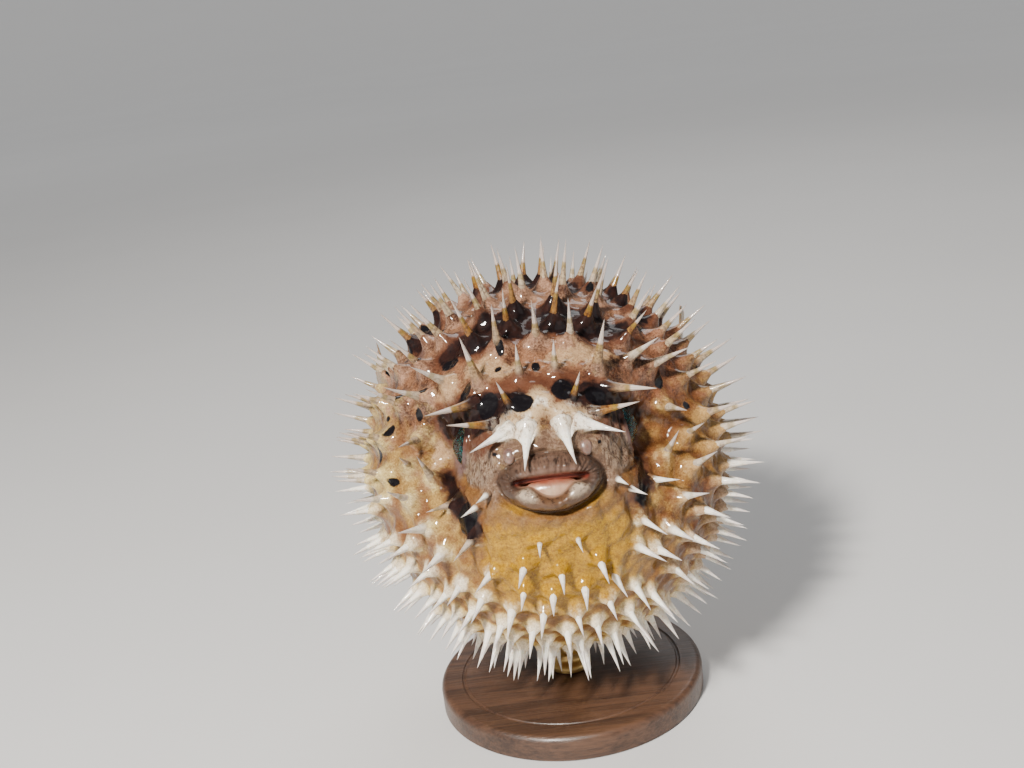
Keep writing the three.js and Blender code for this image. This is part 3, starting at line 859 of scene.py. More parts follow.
class MottleGroup(NodeGroup):
    """Mixes two colours in soft patches with a fine grain in them."""

    patch_detail: float = 5.0
    grain: Grain = Grain(2.4, 3, 0.7)
    contrast: float = 3.4

    def __init__(self) -> None:
        """Builds the group."""
        colors = {"Light": (0.5, 0.4, 0.3), "Dark": (0.2, 0.1, 0.05)}
        amounts = {"Patch Scale": 0.12, "Grain": 0.35, "Bias": 0.5}
        super().__init__("Mottle", colors | amounts, ("Color", "Mask"))
        inputs = {"Vector": self.places(), "Scale": self.given["Patch Scale"], "Detail": self.patch_detail}
        patch = self.add("ShaderNodeTexNoise", inputs).outputs["Fac"]
        grain = self.less(self.noise(self.grain), HALF)
        mask = self.less(self.lift(patch, grain, self.given["Grain"]), self.given["Bias"])
        mask = self.lift(HALF, mask, self.contrast, clamp=True)
        self.put_out(Color=self.mix(mask, self.given["Light"], self.given["Dark"]), Mask=mask)


class WrinkleGroup(NodeGroup):
    """Fine relief for wet skin: pores and short folds, in millimetres of height."""

    fold_squeeze: Triple = (1, 1, 1.6)
    fold_scale: float = 0.8
    fold_detail: float = 3.0
    pebbles: Grain = Grain(0.6, 2, 0.45)
    pores: Grain = Grain(2.3, 3, 0.6)

    def __init__(self) -> None:
        """Builds the group."""
        super().__init__("Wrinkles", {"Folds": 0.3, "Pebbles": 0.0, "Pores": 0.1}, ("Height",))
        inputs = {"Vector": self.places(self.fold_squeeze), "Scale": self.fold_scale}
        inputs["Detail"] = self.fold_detail
        folds = self.add("ShaderNodeTexNoise", inputs, noise_type="RIDGED_MULTIFRACTAL").outputs["Fac"]
        height = self.times(folds, self.given["Folds"])
        height = self.lift(height, self.noise(self.pebbles), self.given["Pebbles"])
        self.put_out(Height=self.lift(height, self.noise(self.pores), self.given["Pores"]))


class WearGroup(NodeGroup):
    """Light handling wear on the stand: rubbed patches and a dusty film."""

    rubbed: Grain = Grain(0.16, 6, 0.65)
    rubbed_fade: Fade = Fade(0.5, 0.72)
    rubbed_gloss: float = -0.12
    film: Grain = Grain(0.5, 4)
    film_roughness: float = 0.22

    def __init__(self) -> None:
        """Builds the group."""
        colors = {"Color": (0.1, 0.05, 0.03), "Rubbed": (0.2, 0.12, 0.08)}
        super().__init__("Wear", colors | {"Amount": 0.3, "Roughness": 0.35}, ("Color", "Roughness"))
        rubbed = self.times(self.fade(self.noise(self.rubbed), self.rubbed_fade), self.given["Amount"])
        rough = self.lift(self.given["Roughness"], self.noise(self.film), self.film_roughness)
        rough = self.lift(rough, rubbed, self.rubbed_gloss)
        self.put_out(Color=self.mix(rubbed, self.given["Color"], self.given["Rubbed"]), Roughness=rough)


# ---- the skin's pattern


@dataclass(frozen=True)
class SkinPalette:
    """The plain colours of the living skin, with the colours of its painted shade and highlights."""

    belly_pale: Color = (0.84, 0.63, 0.31)
    belly_white: Color = (0.93, 0.84, 0.66)
    # partly the belly's gold-brown, partly painted shade in the pockets between the spines' tents
    belly_pocket_shade: Color = (0.34, 0.18, 0.05)
    belly_gold: Color = (0.58, 0.40, 0.12)
    flank_pale: Color = (0.77, 0.61, 0.26)
    flank_orange: Color = (0.24, 0.128, 0.043)
    flank_rose: Color = (0.26, 0.125, 0.065)
    back_cream: Color = (0.48, 0.31, 0.165)
    chin: Color = (0.42, 0.225, 0.008)
    chin_deep: Color = (0.27, 0.125, 0.008)
    halo: Color = (0.075, 0.024, 0.011)
    spot: Color = (0.003, 0.002, 0.003)
    freckle: Color = (0.035, 0.018, 0.012)
    snout_white: Color = (0.93, 0.86, 0.74)
    # the snout away from the fleshy spine roots: partly cream skin, partly painted shade between them
    snout_cream_and_shade: Color = (0.47, 0.325, 0.18)
    snout_brown: Color = (0.16, 0.085, 0.035)
    beside_eye: Color = (0.07, 0.035, 0.022)
    beside_eye_pale: Color = (0.25, 0.175, 0.12)
    # the cheek marks, and also the painted shadow strip under the lower lip
    cheek: Color = (0.19, 0.085, 0.026)
    grain: Color = (0.45, 0.38, 0.32)
    # painted shade in the valleys between the spines' mounds
    valley_shade: Color = (0.6, 0.45, 0.32)
    # painted shade: darkens the lower right flank and jowl, which the key light reaches less
    right_painted_shade: Color = (0.6, 0.41, 0.3)
    lip: Color = (0.10, 0.057, 0.038)
    lip_dark: Color = (0.025, 0.013, 0.009)
    lip_low: Color = (0.10, 0.05, 0.025)
    # partly the lower lip's pale colour, partly painted highlight on the tops of its lobes
    lip_lobe_highlight: Color = (0.36, 0.275, 0.195)
    lip_edge: Color = (0.19, 0.11, 0.08)
    # partly the lips' own dark brown, partly painted shade in the mouth's corners
    lip_corner: Color = (0.035, 0.02, 0.014)
    gum: Color = (0.27, 0.07, 0.04)
    # partly the gums' dark red, partly painted shade deep in the gape's corners
    gum_corner_shade: Color = (0.10, 0.016, 0.009)
    gum_low: Color = (0.34, 0.20, 0.13)
    throat: Color = (0.20, 0.045, 0.027)
    lid: Color = (0.11, 0.065, 0.06)


@dataclass(frozen=True)
class SkinPatches:
    """The patchy colours of the living skin."""

    back: Patches = Patches((0.38, 0.215, 0.135), (0.06, 0.024, 0.013), 0.24, 0.7, 0.53)
    flank: Patches = Patches((0.56, 0.415, 0.15), (0.24, 0.128, 0.043), 0.2, 0.6, 0.53)
    muzzle: Patches = Patches((0.30, 0.20, 0.13), (0.135, 0.08, 0.052), 0.35, 0.8, 0.42)
    bar: Patches = Patches((0.007, 0.003, 0.003), (0.026, 0.009, 0.006), 0.3, 0.3, 0.56)


@dataclass(frozen=True)
class SkinGrains:
    """The noise fields in the skin's colours."""

    wobble: Grain = Grain(0.55, 3, 0.6)
    jitter: Grain = Grain(1.9, 3, 0.7)
    rose: Grain = Grain(0.1, 3, 0.6)
    freckles: Grain = Grain(1.7, 3, 0.75)
    beside_eye: Grain = Grain(0.9, 3, 0.65, (3.4, 2.6, 0.3))
    fine: Grain = Grain(2.3, 5, 0.8)
    threads: Grain = Grain(0.42, 4, 0.6, (1, 1, 1.5))
    fuzz: Grain = Grain(1.3, 5, 0.75, (1, 1, 0.5))
    lip: Grain = Grain(0.8, 4, 0.7, (2.6, 1, 0.5))
    speckle: Grain = Grain(1.1, 5, 0.75)


@dataclass(frozen=True)
class SkinFades:
    """Where each colour of the skin starts and is full: heights from -1 to 1, millimetres, or shares."""

    height_shake: float = 0.5
    tent_shake: float = 0.3
    belly_gold: Fade = Fade(0.05, 0.35)
    belly_pale: Fade = Fade(0.42, 0.92)
    rose: Fade = Fade(0.48, 0.6, 0.65)
    belly: Fade = Fade(-0.12, -0.42)
    back: Fade = Fade(0.32, 0.62)
    root_color: Fade = Fade(0.25, -0.25)
    root: Fade = Fade(2.5, 0.8, shake=2.2)
    root_height: Fade = Fade(0.75, 0.1)
    root_share: float = 0.85
    # painted shade in the valleys: by raised height, only near spines, and its share
    valley_shade: Fade = Fade(0.4, 0.08)
    valley_shade_distance: Fade = Fade(7.5, 5.0)
    valley_shade_share: float = 0.75
    cream: Fade = Fade(-1.0, 0.8, 0.85, 6.0)
    chin_color: Fade = Fade(-0.05, 0.2)
    chin: Fade = Fade(0.18, 0.6, shake=0.5)
    freckles: Fade = Fade(0.60, 0.68)
    freckle_height: Fade = Fade(-0.1, 0.3)
    freckle_share: float = 0.6
    cheek_color: Fade = Fade(-0.02, 0.14)
    cheek: Fade = Fade(-2.4, 1.2, shake=3.0)
    muzzle: Fade = Fade(-0.9, 0.9, shake=2.0)
    beside_eye_color: Fade = Fade(0.36, 0.56)
    beside_eye: Fade = Fade(-0.6, 1.0, shake=2.0)
    fine: Fade = Fade(0.36, 0.62)
    threads: Fade = Fade(0.022, 0.004)
    shade_share: float = 0.7
    # painted shade on the right side: where it starts by side and by height, and its share
    right_painted_shade: Fade = Fade(0.3, 0.7, shake=0.8)
    right_shade_height: Fade = Fade(-0.72, -0.35)
    right_shade_share: float = 0.8
    halo: Fade = Fade(-2.4, -0.1, 0.85, 5.0)
    bar: Fade = Fade(-0.5, 0.55, shake=2.6)
    spot: Fade = Fade(-0.14, 0.14, shake=0.5)
    blaze: Fade = Fade(0.9, 2.2, 0.8, 3.0)
    fleshy: Fade = Fade(2.7, 0.9, shake=2.2)
    fuzz: Fade = Fade(0.44, 0.68)
    white: Fade = Fade(-0.7, 0.7, shake=3.6)
    upper_lip: Fade = Fade(0.44, 0.66)
    lip_edge: Fade = Fade(0.5, 0.05, 0.7, 0.6)
    lip_lobe_highlight: Fade = Fade(0.25, 0.8, shake=0.5)
    speckle: Fade = Fade(0.5, 0.6)
    speckle_reach: Fade = Fade(0.75, 0.35)
    speckle_share: float = 0.75
    lip_corner: Fade = Fade(0.3, 1.0, 0.6, 0.8)
    lip: Fade = Fade(1.22, 0.92, shake=0.3)
    # dark rim round the lips: partly their dark edge, partly painted shade in the furrow
    rim_middle: float = 1.08
    rim: Fade = Fade(0.12, 0.02, 0.5, 0.12)
    gum: Fade = Fade(0.12, -0.04)
    throat: Fade = Fade(-0.45, -0.95)
    wet_streaks: Fade = Fade(-0.5, 1.5)
    dull_bar: Fade = Fade(-0.5, 0.6)
    dull_muzzle: Fade = Fade(-1.0, 1.0)


class SkinPattern(NodeGroup):
    """The fish's whole pattern with its painted shade and highlights, for the skin and the foot of each
    spine, with the skin's gloss.
    """

    palette = SkinPalette()
    mixed = SkinPatches()
    grains = SkinGrains()
    fades = SkinFades()
    roughness: float = 0.6
    roughness_grain: float = 0.3
    film: float = 0.7
    film_loss: float = -0.3

    def __init__(self, mottle: Tree) -> None:
        """Builds the group.

        Args:
            mottle: the patchy mixing group.
        """
        super().__init__("Fish pattern", {"Warmth": 0.0}, ("Color", "Roughness", "Streaks", "Film"))
        self.mottle = mottle
        self.wobble = self.less(self.noise(self.grains.wobble), HALF)
        self.jitter = self.less(self.noise(self.grains.jitter), HALF)
        self.height = self.lift(self.value("height"), self.wobble, self.fades.height_shake)
        self.tent = self.lift(self.value("web"), self.jitter, self.fades.tent_shake)
        self.streaks = self.noise(self.grains.beside_eye)
        self.color: Socket | None = None
        for paint_part in (self.body, self.roots, self.face, self.fine_shade, self.marks, self.snout):
            paint_part()
        self.lips()
        self.mouth()
        self.gloss()

    def paint(self, strength: Socket, color: object, blend: str = "MIX") -> None:
        """Lays a colour over the colour so far."""
        self.color = self.mix(strength, self.color, color, blend)

    def mark(self, name: str, fade: Fade, noise: Socket | None = None) -> Socket:
        """Turns a value of the mesh into a strength, its edge shaken by the wobble or another field."""
        return self.fade(self.lift(self.value(name), noise or self.wobble, fade.shake), fade)

    def both(self, first: Socket, second: Socket, share: float) -> Socket:
        """Gives the strength where two others meet, times a share."""
        return self.times(self.times(first, second), share)

    def body(self) -> None:
        """Colours the belly, the flanks and the back."""
        palette, fades = self.palette, self.fades
        # darker in the low pockets between the raised tents, partly as painted shade
        belly = self.mix(self.fade(self.tent, fades.belly_gold), palette.belly_pocket_shade, palette.belly_gold)
        belly = self.mix(self.fade(self.tent, fades.belly_pale), belly, palette.belly_pale)
        self.color = self.patches(self.mottle, self.mixed.flank)
        self.paint(self.fade(self.noise(self.grains.rose), fades.rose), palette.flank_rose)
        self.paint(self.fade(self.height, fades.belly), belly)
        self.paint(self.fade(self.height, fades.back), self.patches(self.mottle, self.mixed.back))

    def roots(self) -> None:
        """Makes the skin pale at each spine's foot, and paints shade in the valleys between the spines."""
        palette, fades = self.palette, self.fades
        low = self.fade(self.height, fades.root_color)
        root_color = self.mix(low, palette.flank_pale, palette.belly_white)
        root_height = self.fade(self.height, fades.root_height)
        self.paint(self.both(self.mark("root_mm", fades.root), root_height, fades.root_share), root_color)
        # painted shade: darkens the low skin between neighbouring spines
        distance = self.fade(self.value("root_mm"), fades.valley_shade_distance)
        valley_shade = self.both(self.fade(self.tent, fades.valley_shade), distance, fades.valley_shade_share)
        self.paint(valley_shade, palette.valley_shade, "MULTIPLY")

    def face(self) -> None:
        """Colours the cream patches, chin, freckles, cheeks with the painted shadow under the lower lip,
        muzzle and the skin beside the eyes.
        """
        palette, fades = self.palette, self.fades
        self.paint(self.mark("cream_mm", fades.cream), palette.back_cream)
        chin = self.mix(self.fade(self.jitter, fades.chin_color), palette.chin, palette.chin_deep)
        self.paint(self.mark("chin", fades.chin), chin)
        freckles = self.fade(self.noise(self.grains.freckles), fades.freckles)
        high = self.fade(self.height, fades.freckle_height)
        self.paint(self.both(freckles, high, fades.freckle_share), palette.freckle)
        # the cheek colours also paint the shadow strip under the lower lip
        cheek = self.mix(self.fade(self.wobble, fades.cheek_color), palette.cheek, palette.flank_orange)
        self.paint(self.mark("cheek_mm", fades.cheek), cheek)
        self.paint(self.mark("muzzle_mm", fades.muzzle), self.patches(self.mottle, self.mixed.muzzle))
        beside = self.fade(self.streaks, fades.beside_eye_color)
        beside = self.mix(beside, palette.beside_eye, palette.beside_eye_pale)
        self.paint(self.mark("beside_eye_mm", fades.beside_eye), beside)

    def fine_shade(self) -> None:
        """Lays a fine dark grain and thin dark threads over the skin so far."""
        fine = self.fade(self.noise(self.grains.fine), self.fades.fine)
        threads = self.fade(self.gap(self.noise(self.grains.threads), HALF), self.fades.threads)
        shade = self.math("MAXIMUM", self.less(1.0, fine), threads)
        self.paint(self.times(shade, self.fades.shade_share), self.palette.grain, "MULTIPLY")

    def marks(self) -> None:
        """Colours the lids, the right side darkened with painted shade, and the bars with their halo."""
        palette, fades = self.palette, self.fades
        self.paint(self.value("lid"), palette.lid)
        # painted shade over the lower right flank and jowl
        right_shade_height = self.fade(self.height, fades.right_shade_height)
        right = self.both(self.mark("side", fades.right_painted_shade), right_shade_height, fades.right_shade_share)
        self.paint(right, palette.right_painted_shade, "MULTIPLY")
        self.paint(self.mark("halo_mm", fades.halo), palette.halo)
        self.paint(self.mark("bar_mm", fades.bar), self.patches(self.mottle, self.mixed.bar))

    def snout(self) -> None:
        """Colours the white, fleshy snout, darker between the spine roots partly as painted shade, and the
        black spots.
        """
        palette, fades = self.palette, self.fades
        fuzz = self.noise(self.grains.fuzz)
        fleshy = self.math("MAXIMUM", self.mark("root_mm", fades.fleshy), self.mark("white_mm", fades.blaze))
        # cream away from the roots stands partly for painted shade between the fleshy cones
        white = self.mix(fleshy, palette.snout_cream_and_shade, palette.snout_white)
        white = self.mix(self.fade(fuzz, fades.fuzz), white, palette.snout_brown)
        self.paint(self.mark("white_mm", fades.white, self.less(fuzz, HALF)), white)
        self.paint(self.mark("spot_mm", fades.spot, self.jitter), palette.spot)

    def lips(self) -> None:
        """Colours the streaked upper lip and the speckled lower lip, paler with painted highlight on the tops
        of its lobes.
        """
        palette, fades = self.palette, self.fades
        streaked = self.fade(self.noise(self.grains.lip), fades.upper_lip)
        upper = self.mix(streaked, palette.lip, palette.lip_dark)
        upper = self.mix(self.mark("lip_across", fades.lip_edge), upper, palette.lip_edge)
        # painted highlight on the tops of the lower lip's lobes, over its pale colour
        glow = self.mark("lip_lobe", fades.lip_lobe_highlight, self.jitter)
        speckle = self.fade(self.noise(self.grains.speckle), fades.speckle)
        inner = self.fade(self.value("lip_across"), fades.speckle_reach)
        speckle = self.both(speckle, inner, fades.speckle_share)
        lower = self.mix(speckle, self.mix(glow, palette.lip_low, palette.lip_lobe_highlight), palette.lip_dark)
        lip = self.mix(self.value("lip_low"), upper, lower)
        # darkens the lips towards the mouth's corners, partly as painted shade
        lip = self.mix(self.mark("lip_corner", fades.lip_corner), lip, palette.lip_corner)
        self.paint(self.mark("lip_across", fades.lip, self.jitter), lip)

    def mouth(self) -> None:
        """Colours the dark rim round the lips, partly their dark edge and partly painted shade in the furrow
        there, and the gums and the throat inside them.
        """
        palette, fades = self.palette, self.fades
        across = self.value("lip_across")
        # partly the lips' dark edge, partly painted shade in the furrow round them
        rim = self.gap(self.lift(across, self.jitter, fades.rim.shake), fades.rim_middle)
        self.paint(self.fade(rim, fades.rim), palette.lip_dark)
        # the gums darken towards the corners, partly as painted shade
        gum = self.mix(self.value("lip_corner"), palette.gum, palette.gum_corner_shade)
        gum = self.mix(self.value("lip_low"), gum, palette.gum_low)
        self.paint(self.fade(across, fades.gum), gum)
        self.paint(self.fade(across, fades.throat), palette.throat)

    def gloss(self) -> None:
        """Measures the roughness, the streaks beside the eyes and the wet film, and puts all out."""
        fades = self.fades
        rough = self.lift(self.roughness, self.jitter, self.roughness_grain)
        streaks = self.times(self.streaks, self.fade(self.value("beside_eye_mm"), fades.wet_streaks))
        film = self.lift(self.film, self.fade(self.value("bar_mm"), fades.dull_bar), self.film_loss)
        muzzle = self.fade(self.value("muzzle_mm"), fades.dull_muzzle)
        film = self.lift(film, muzzle, self.film_loss, clamp=True)
        self.put_out(Color=self.color, Roughness=rough, Streaks=streaks, Film=film)


# ---- finishes


class SharedGroups:
    """The node groups that more than one finish uses, each built once."""

    def __init__(self) -> None:
        """Builds the groups."""
        self.mottle = MottleGroup().tree
        self.wrinkles = WrinkleGroup().tree
        self.wear = WearGroup().tree
        self.pattern = SkinPattern(self.mottle).tree


class Finish(Graph):
    """A material under the name of what it covers, with the shader that every finish ends in."""

    title: str = "finish"

    def __init__(self, shared: SharedGroups) -> None:
        """Starts the material with a Principled shader, and dresses it.

        Args:
            shared: the node groups that finishes share.
        """
        self.material = bpy.data.materials.new(self.title)
        self.material.use_nodes = True
        super().__init__(self.material.node_tree)
        self.shader = self.tree.nodes["Principled BSDF"]
        self.shared = shared
        self.dress()

    def dress(self) -> None:
        """Adds the finish's own nodes and values."""

    def constant(self, **values: object) -> None:
        """Sets the shader's own sockets, named with _ for a space."""
        for name, value in values.items():
            self.shader.inputs[name.replace("_", " ")].default_value = value

    def linked(self, **sockets: Socket) -> None:
        """Links sockets to the shader's inputs, named with _ for a space."""
        for name, socket in sockets.items():
            self.tree.links.new(socket, self.shader.inputs[name.replace("_", " ")])

    def relief(self, height: Socket, depth: float) -> None:
        """Turns a height field into bumps, depth in millimetres for one unit of height."""
        bumps = self.add("ShaderNodeBump", {"Height": height, "Strength": 1.0, "Distance": depth * MM})
        self.linked(Normal=bumps.outputs["Normal"])


class SkinFinish(Finish):
    """Wet, patterned skin."""

    title: str = "wet_skin"
    streak_height: float = 0.35

    def dress(self) -> None:
        """Adds the pattern, the wet film and the folds."""
        looks = self.group(self.shared.pattern).outputs
        self.linked(Base_Color=looks["Color"], Roughness=looks["Roughness"], Coat_Weight=looks["Film"])
        folds = self.group(self.shared.wrinkles, Folds=0.22, Pebbles=0.8, Pores=0.03).outputs["Height"]
        self.relief(self.lift(folds, looks["Streaks"], self.streak_height), depth=0.42)
        self.constant(Coat_Roughness=0.07, Subsurface_Weight=0.04, Subsurface_Scale=0.7 * MM)
        self.constant(Subsurface_Radius=(1.0, 0.45, 0.25), Specular_IOR_Level=0.06)


class SpineFinish(Finish):
    """The spines: skin at the foot, a tan, amber or white sheath, and a bare horny point."""

    title: str = "spine"
    tan: Color = (0.42, 0.30, 0.16)
    tan_dark: Color = (0.14, 0.08, 0.04)
    tan_fade: Fade = Fade(0.36, 0.66)
    amber: Color = (0.27, 0.12, 0.018)
    amber_dark: Color = (0.06, 0.017, 0.004)
    amber_fade: Fade = Fade(0.35, 0.7)
    white: Color = (0.93, 0.88, 0.78)
    white_dark: Color = (0.70, 0.55, 0.34)
    white_fade: Fade = Fade(0.5, 0.8)
    horn: Color = (0.56, 0.47, 0.41)
    horn_white: Color = (0.92, 0.86, 0.80)
    horn_line: Color = (0.32, 0.24, 0.20)
    line_share: float = 0.6
    line_height: float = 0.35
    olive: Color = (0.22, 0.15, 0.025)
    olive_middle: float = -0.75
    olive_fade: Fade = Fade(1.0, 0.2, 0.6)
    foot_fade: Fade = Fade(0.10, 0.34)
    bare_fade: Fade = Fade(-0.25, 0.35, shake=1.1)
    grain: Grain = Grain(1.6, 3, 0.6)
    roughness: float = 0.2
    roughness_grain: float = 0.25

    def sheath(self, grain: Socket) -> Socket:
        """Colours the sheath, tan, amber or white as the mesh says.

        Args:
            grain: the noise field in each colour.

        Returns:
            The colour.
        """
        tan = self.mix(self.fade(grain, self.tan_fade), self.tan, self.tan_dark)
        amber = self.mix(self.fade(grain, self.amber_fade), self.amber, self.amber_dark)
        white = self.mix(self.fade(grain, self.white_fade), self.white, self.white_dark)
        return self.mix(self.value("white"), self.mix(self.value("amber"), tan, amber), white)

    def dress(self) -> None:
        """Colours the foot, the sheath and the point, and adds fine lines."""
        foot = self.group(self.shared.pattern).outputs["Color"]
        grain = self.noise(self.grain)
        around = self.add("ShaderNodeCombineXYZ", {"X": self.value("around")}).outputs[0]
        waves = {"Vector": around, "Scale": 2.6, "Distortion": 2.0, "Detail": 2.0}
        lines = self.add("ShaderNodeTexWave", waves).outputs["Fac"]
        horn = self.mix(self.value("white"), self.horn, self.horn_white)
        horn = self.mix(self.times(lines, self.line_share), horn, self.horn_line)
        bare_mm = self.lift(self.value("bare_mm"), self.less(grain, HALF), self.bare_fade.shake)
        olive = self.fade(self.gap(bare_mm, self.olive_middle), self.olive_fade)
        olive = self.times(olive, self.math("SUBTRACT", 1.0, self.value("white"), clamp=True))
        color = self.mix(self.fade(self.value("along"), self.foot_fade), foot, self.sheath(grain))
        color = self.mix(olive, color, self.olive)
        color = self.mix(self.fade(bare_mm, self.bare_fade), color, horn)
        rough = self.lift(self.roughness, grain, self.roughness_grain)
        self.linked(Base_Color=color, Roughness=rough)
        self.relief(self.lift(grain, lines, self.line_height), depth=0.1)
        self.constant(Coat_Weight=0.6, Coat_Roughness=0.08, Subsurface_Weight=0.12, Subsurface_Scale=0.6 * MM)
        self.constant(Subsurface_Radius=(1.0, 0.6, 0.4), Specular_IOR_Level=0.2)


class IrisFinish(Finish):
    """The eye under its clear dome: a golden iris and a deep pupil with green and blue sparks."""

    title: str = "iris"
    gold: Color = (0.30, 0.21, 0.06)
    gold_dark: Color = (0.05, 0.035, 0.015)
    gold_grain: Grain = Grain(2.2, 4, 0.7)
    gold_fade: Fade = Fade(0.38, 0.64)
    green: Color = (0.0, 0.30, 0.16)
    blue: Color = (0.01, 0.12, 0.30)
    green_grain: Grain = Grain(0.7, 1)
    spark_grain: Grain = Grain(3.2, 2, 0.5)
    spark_fade: Fade = Fade(0.54, 0.62)
    pupil: Color = (0.003, 0.008, 0.008)
    pupil_fade: Fade = Fade(3.5, 3.2)
    rim: Color = (0.03, 0.02, 0.018)
    rim_fade: Fade = Fade(4.4, 5.1)

    def dress(self) -> None:
        """Colours the iris, the pupil with its sparks, and the rim."""
        out = self.value("iris_mm")
        gold = self.mix(self.fade(self.noise(self.gold_grain), self.gold_fade), self.gold, self.gold_dark)
        green = self.mix(self.noise(self.green_grain), self.green, self.blue)
        pupil = self.mix(self.fade(self.noise(self.spark_grain), self.spark_fade), self.pupil, green)
        color = self.mix(self.fade(out, self.pupil_fade), gold, pupil)
        self.linked(Base_Color=self.mix(self.fade(out, self.rim_fade), color, self.rim))
        self.constant(Roughness=0.25, Coat_Weight=0.4)


class CorneaFinish(Finish):
    """The clear dome of the eye."""

    title: str = "cornea"
    grain: Grain = Grain(0.8, 2)
    roughness: float = 0.04

    def dress(self) -> None:
        """Makes the dome clear and almost smooth."""
        self.linked(Roughness=self.times(self.noise(self.grain), self.roughness))
        self.constant(Base_Color=(0.97, 0.99, 0.97, 1), Transmission_Weight=1.0, IOR=1.36)


class BeakFinish(Finish):
    """The smooth horny beak, reddish at its upper edge."""

    title: str = "beak"
    look: Patches = Patches((0.50, 0.34, 0.225), (0.36, 0.20, 0.125), 0.35, 0.2, 0.56)
    upper: Color = (0.21, 0.055, 0.03)
    upper_grain: Grain = Grain(0.5)
    upper_fade: Fade = Fade(0.45, 1.1, shake=0.5)
    grooves: Grain = Grain(0.8, squeeze=(3, 1, 0.4))

    def dress(self) -> None:
        """Adds the patches, the reddish upper edge and fine grooves."""
        patches = self.patches(self.shared.mottle, self.look)
        upward = self.lift(self.value("upward"), self.noise(self.upper_grain), self.upper_fade.shake)
        self.linked(Base_Color=self.mix(self.fade(upward, self.upper_fade), patches, self.upper))
        self.relief(self.noise(self.grooves), depth=0.08)
        self.constant(Roughness=0.2, Coat_Weight=0.6, Subsurface_Weight=0.2, Subsurface_Scale=1.0 * MM)


class FlapFinish(Finish):
    """The soft nostril flaps."""

    title: str = "nasal_flap"
    look: Patches = Patches((0.20, 0.12, 0.09), (0.09, 0.05, 0.04), 0.5, 0.3, 0.55)

    def dress(self) -> None:
        """Adds the patches and the wrinkles."""
        self.linked(Base_Color=self.patches(self.shared.mottle, self.look))
        folds = self.group(self.shared.wrinkles, Folds=0.4, Pores=0.2).outputs["Height"]
        self.relief(folds, depth=0.15)
        self.constant(Roughness=0.3, Coat_Weight=0.6, Subsurface_Weight=0.25, Subsurface_Scale=1.0 * MM)


class FinFinish(Finish):
    """The thin, ribbed, see-through fins."""

    title: str = "fin_membrane"
    membrane: Color = (0.42, 0.31, 0.13)
    membrane_dark: Color = (0.22, 0.13, 0.05)
    membrane_fade: Fade = Fade(0.35, 0.7)
    ray: Color = (0.30, 0.17, 0.06)
    ray_fade: Fade = Fade(0.35, 0.8)
    root: Color = (0.24, 0.13, 0.06)
    root_fade: Fade = Fade(0.25, 0.0)
    grain: Grain = Grain(1.1, 3, 0.6)
    solid_ray: Fade = Fade(0.2, 0.7)
    solid_root: Fade = Fade(0.5, 0.05)
    thinnest: float = 0.62
    added: float = 0.34

    def dress(self) -> None:
        """Colours the membrane, rays and root, and thins the membrane."""
        ray, reach = self.value("ray"), self.value("reach")
        grain = self.noise(self.grain)
        color = self.mix(self.fade(grain, self.membrane_fade), self.membrane, self.membrane_dark)
        color = self.mix(self.fade(ray, self.ray_fade), color, self.ray)
        color = self.mix(self.fade(reach, self.root_fade), color, self.root)
        solid = self.math("MAXIMUM", self.fade(ray, self.solid_ray), self.fade(reach, self.solid_root))
        self.linked(Base_Color=color, Alpha=self.lift(self.thinnest, solid, self.added, clamp=True))
        self.relief(grain, depth=0.1)
        self.constant(Roughness=0.32, Coat_Weight=0.5, Coat_Roughness=0.1)
        self.constant(Subsurface_Weight=0.25, Subsurface_Scale=1.0 * MM)


class WoodFinish(Finish):
    """Dark oiled walnut with its grain across the disc."""

    title: str = "walnut"
    warp: Grain = Grain(0.05, 4, 0.6, (0.3, 1, 1))
    rings: Grain = Grain(0.33, 5, 0.62, (0.05, 1, 1))
    fibres: Grain = Grain(1.2, 4, 0.7, (0.05, 1.4, 1.4))
    fibre_share: float = 0.6
    tone_fade: Fade = Fade(0.35, 0.72)
    dark: Color = (0.026, 0.012, 0.007)
    pale: Color = (0.10, 0.048, 0.026)
    rubbed: Color = (0.17, 0.09, 0.05)

    def dress(self) -> None:
        """Adds the rings and fibres of the wood, and the wear."""
        warped = self.times(self.noise(self.rings), self.noise(self.warp))
        fibres = self.noise(self.fibres)
        tone = self.fade(self.lift(warped, fibres, self.fibre_share), self.tone_fade)
        grain = self.mix(tone, self.dark, self.pale)
        looks = {"Rubbed": self.rubbed, "Amount": 0.25, "Roughness": 0.3}
        worn = self.group(self.shared.wear, Color=grain, **looks).outputs
        self.linked(Base_Color=worn["Color"], Roughness=worn["Roughness"])
        self.relief(fibres, depth=0.12)
        self.constant(Coat_Weight=0.25, Coat_Roughness=0.25)


class BrassFinish(Finish):
    """Satin brass with turning marks."""

    title: str = "satin_brass"
    color: Color = (0.62, 0.42, 0.16)
    rubbed: Color = (0.78, 0.60, 0.30)
    turning: Grain = Grain(1.5, squeeze=(0.1, 0.1, 3))

    def dress(self) -> None:
        """Adds the worn metal and the turning marks."""
        looks = {"Rubbed": self.rubbed, "Amount": 0.4, "Roughness": 0.22}
        worn = self.group(self.shared.wear, Color=self.color, **looks).outputs
        self.linked(Base_Color=worn["Color"], Roughness=worn["Roughness"])
        self.relief(self.noise(self.turning), depth=0.02)
        self.constant(Metallic=1.0)


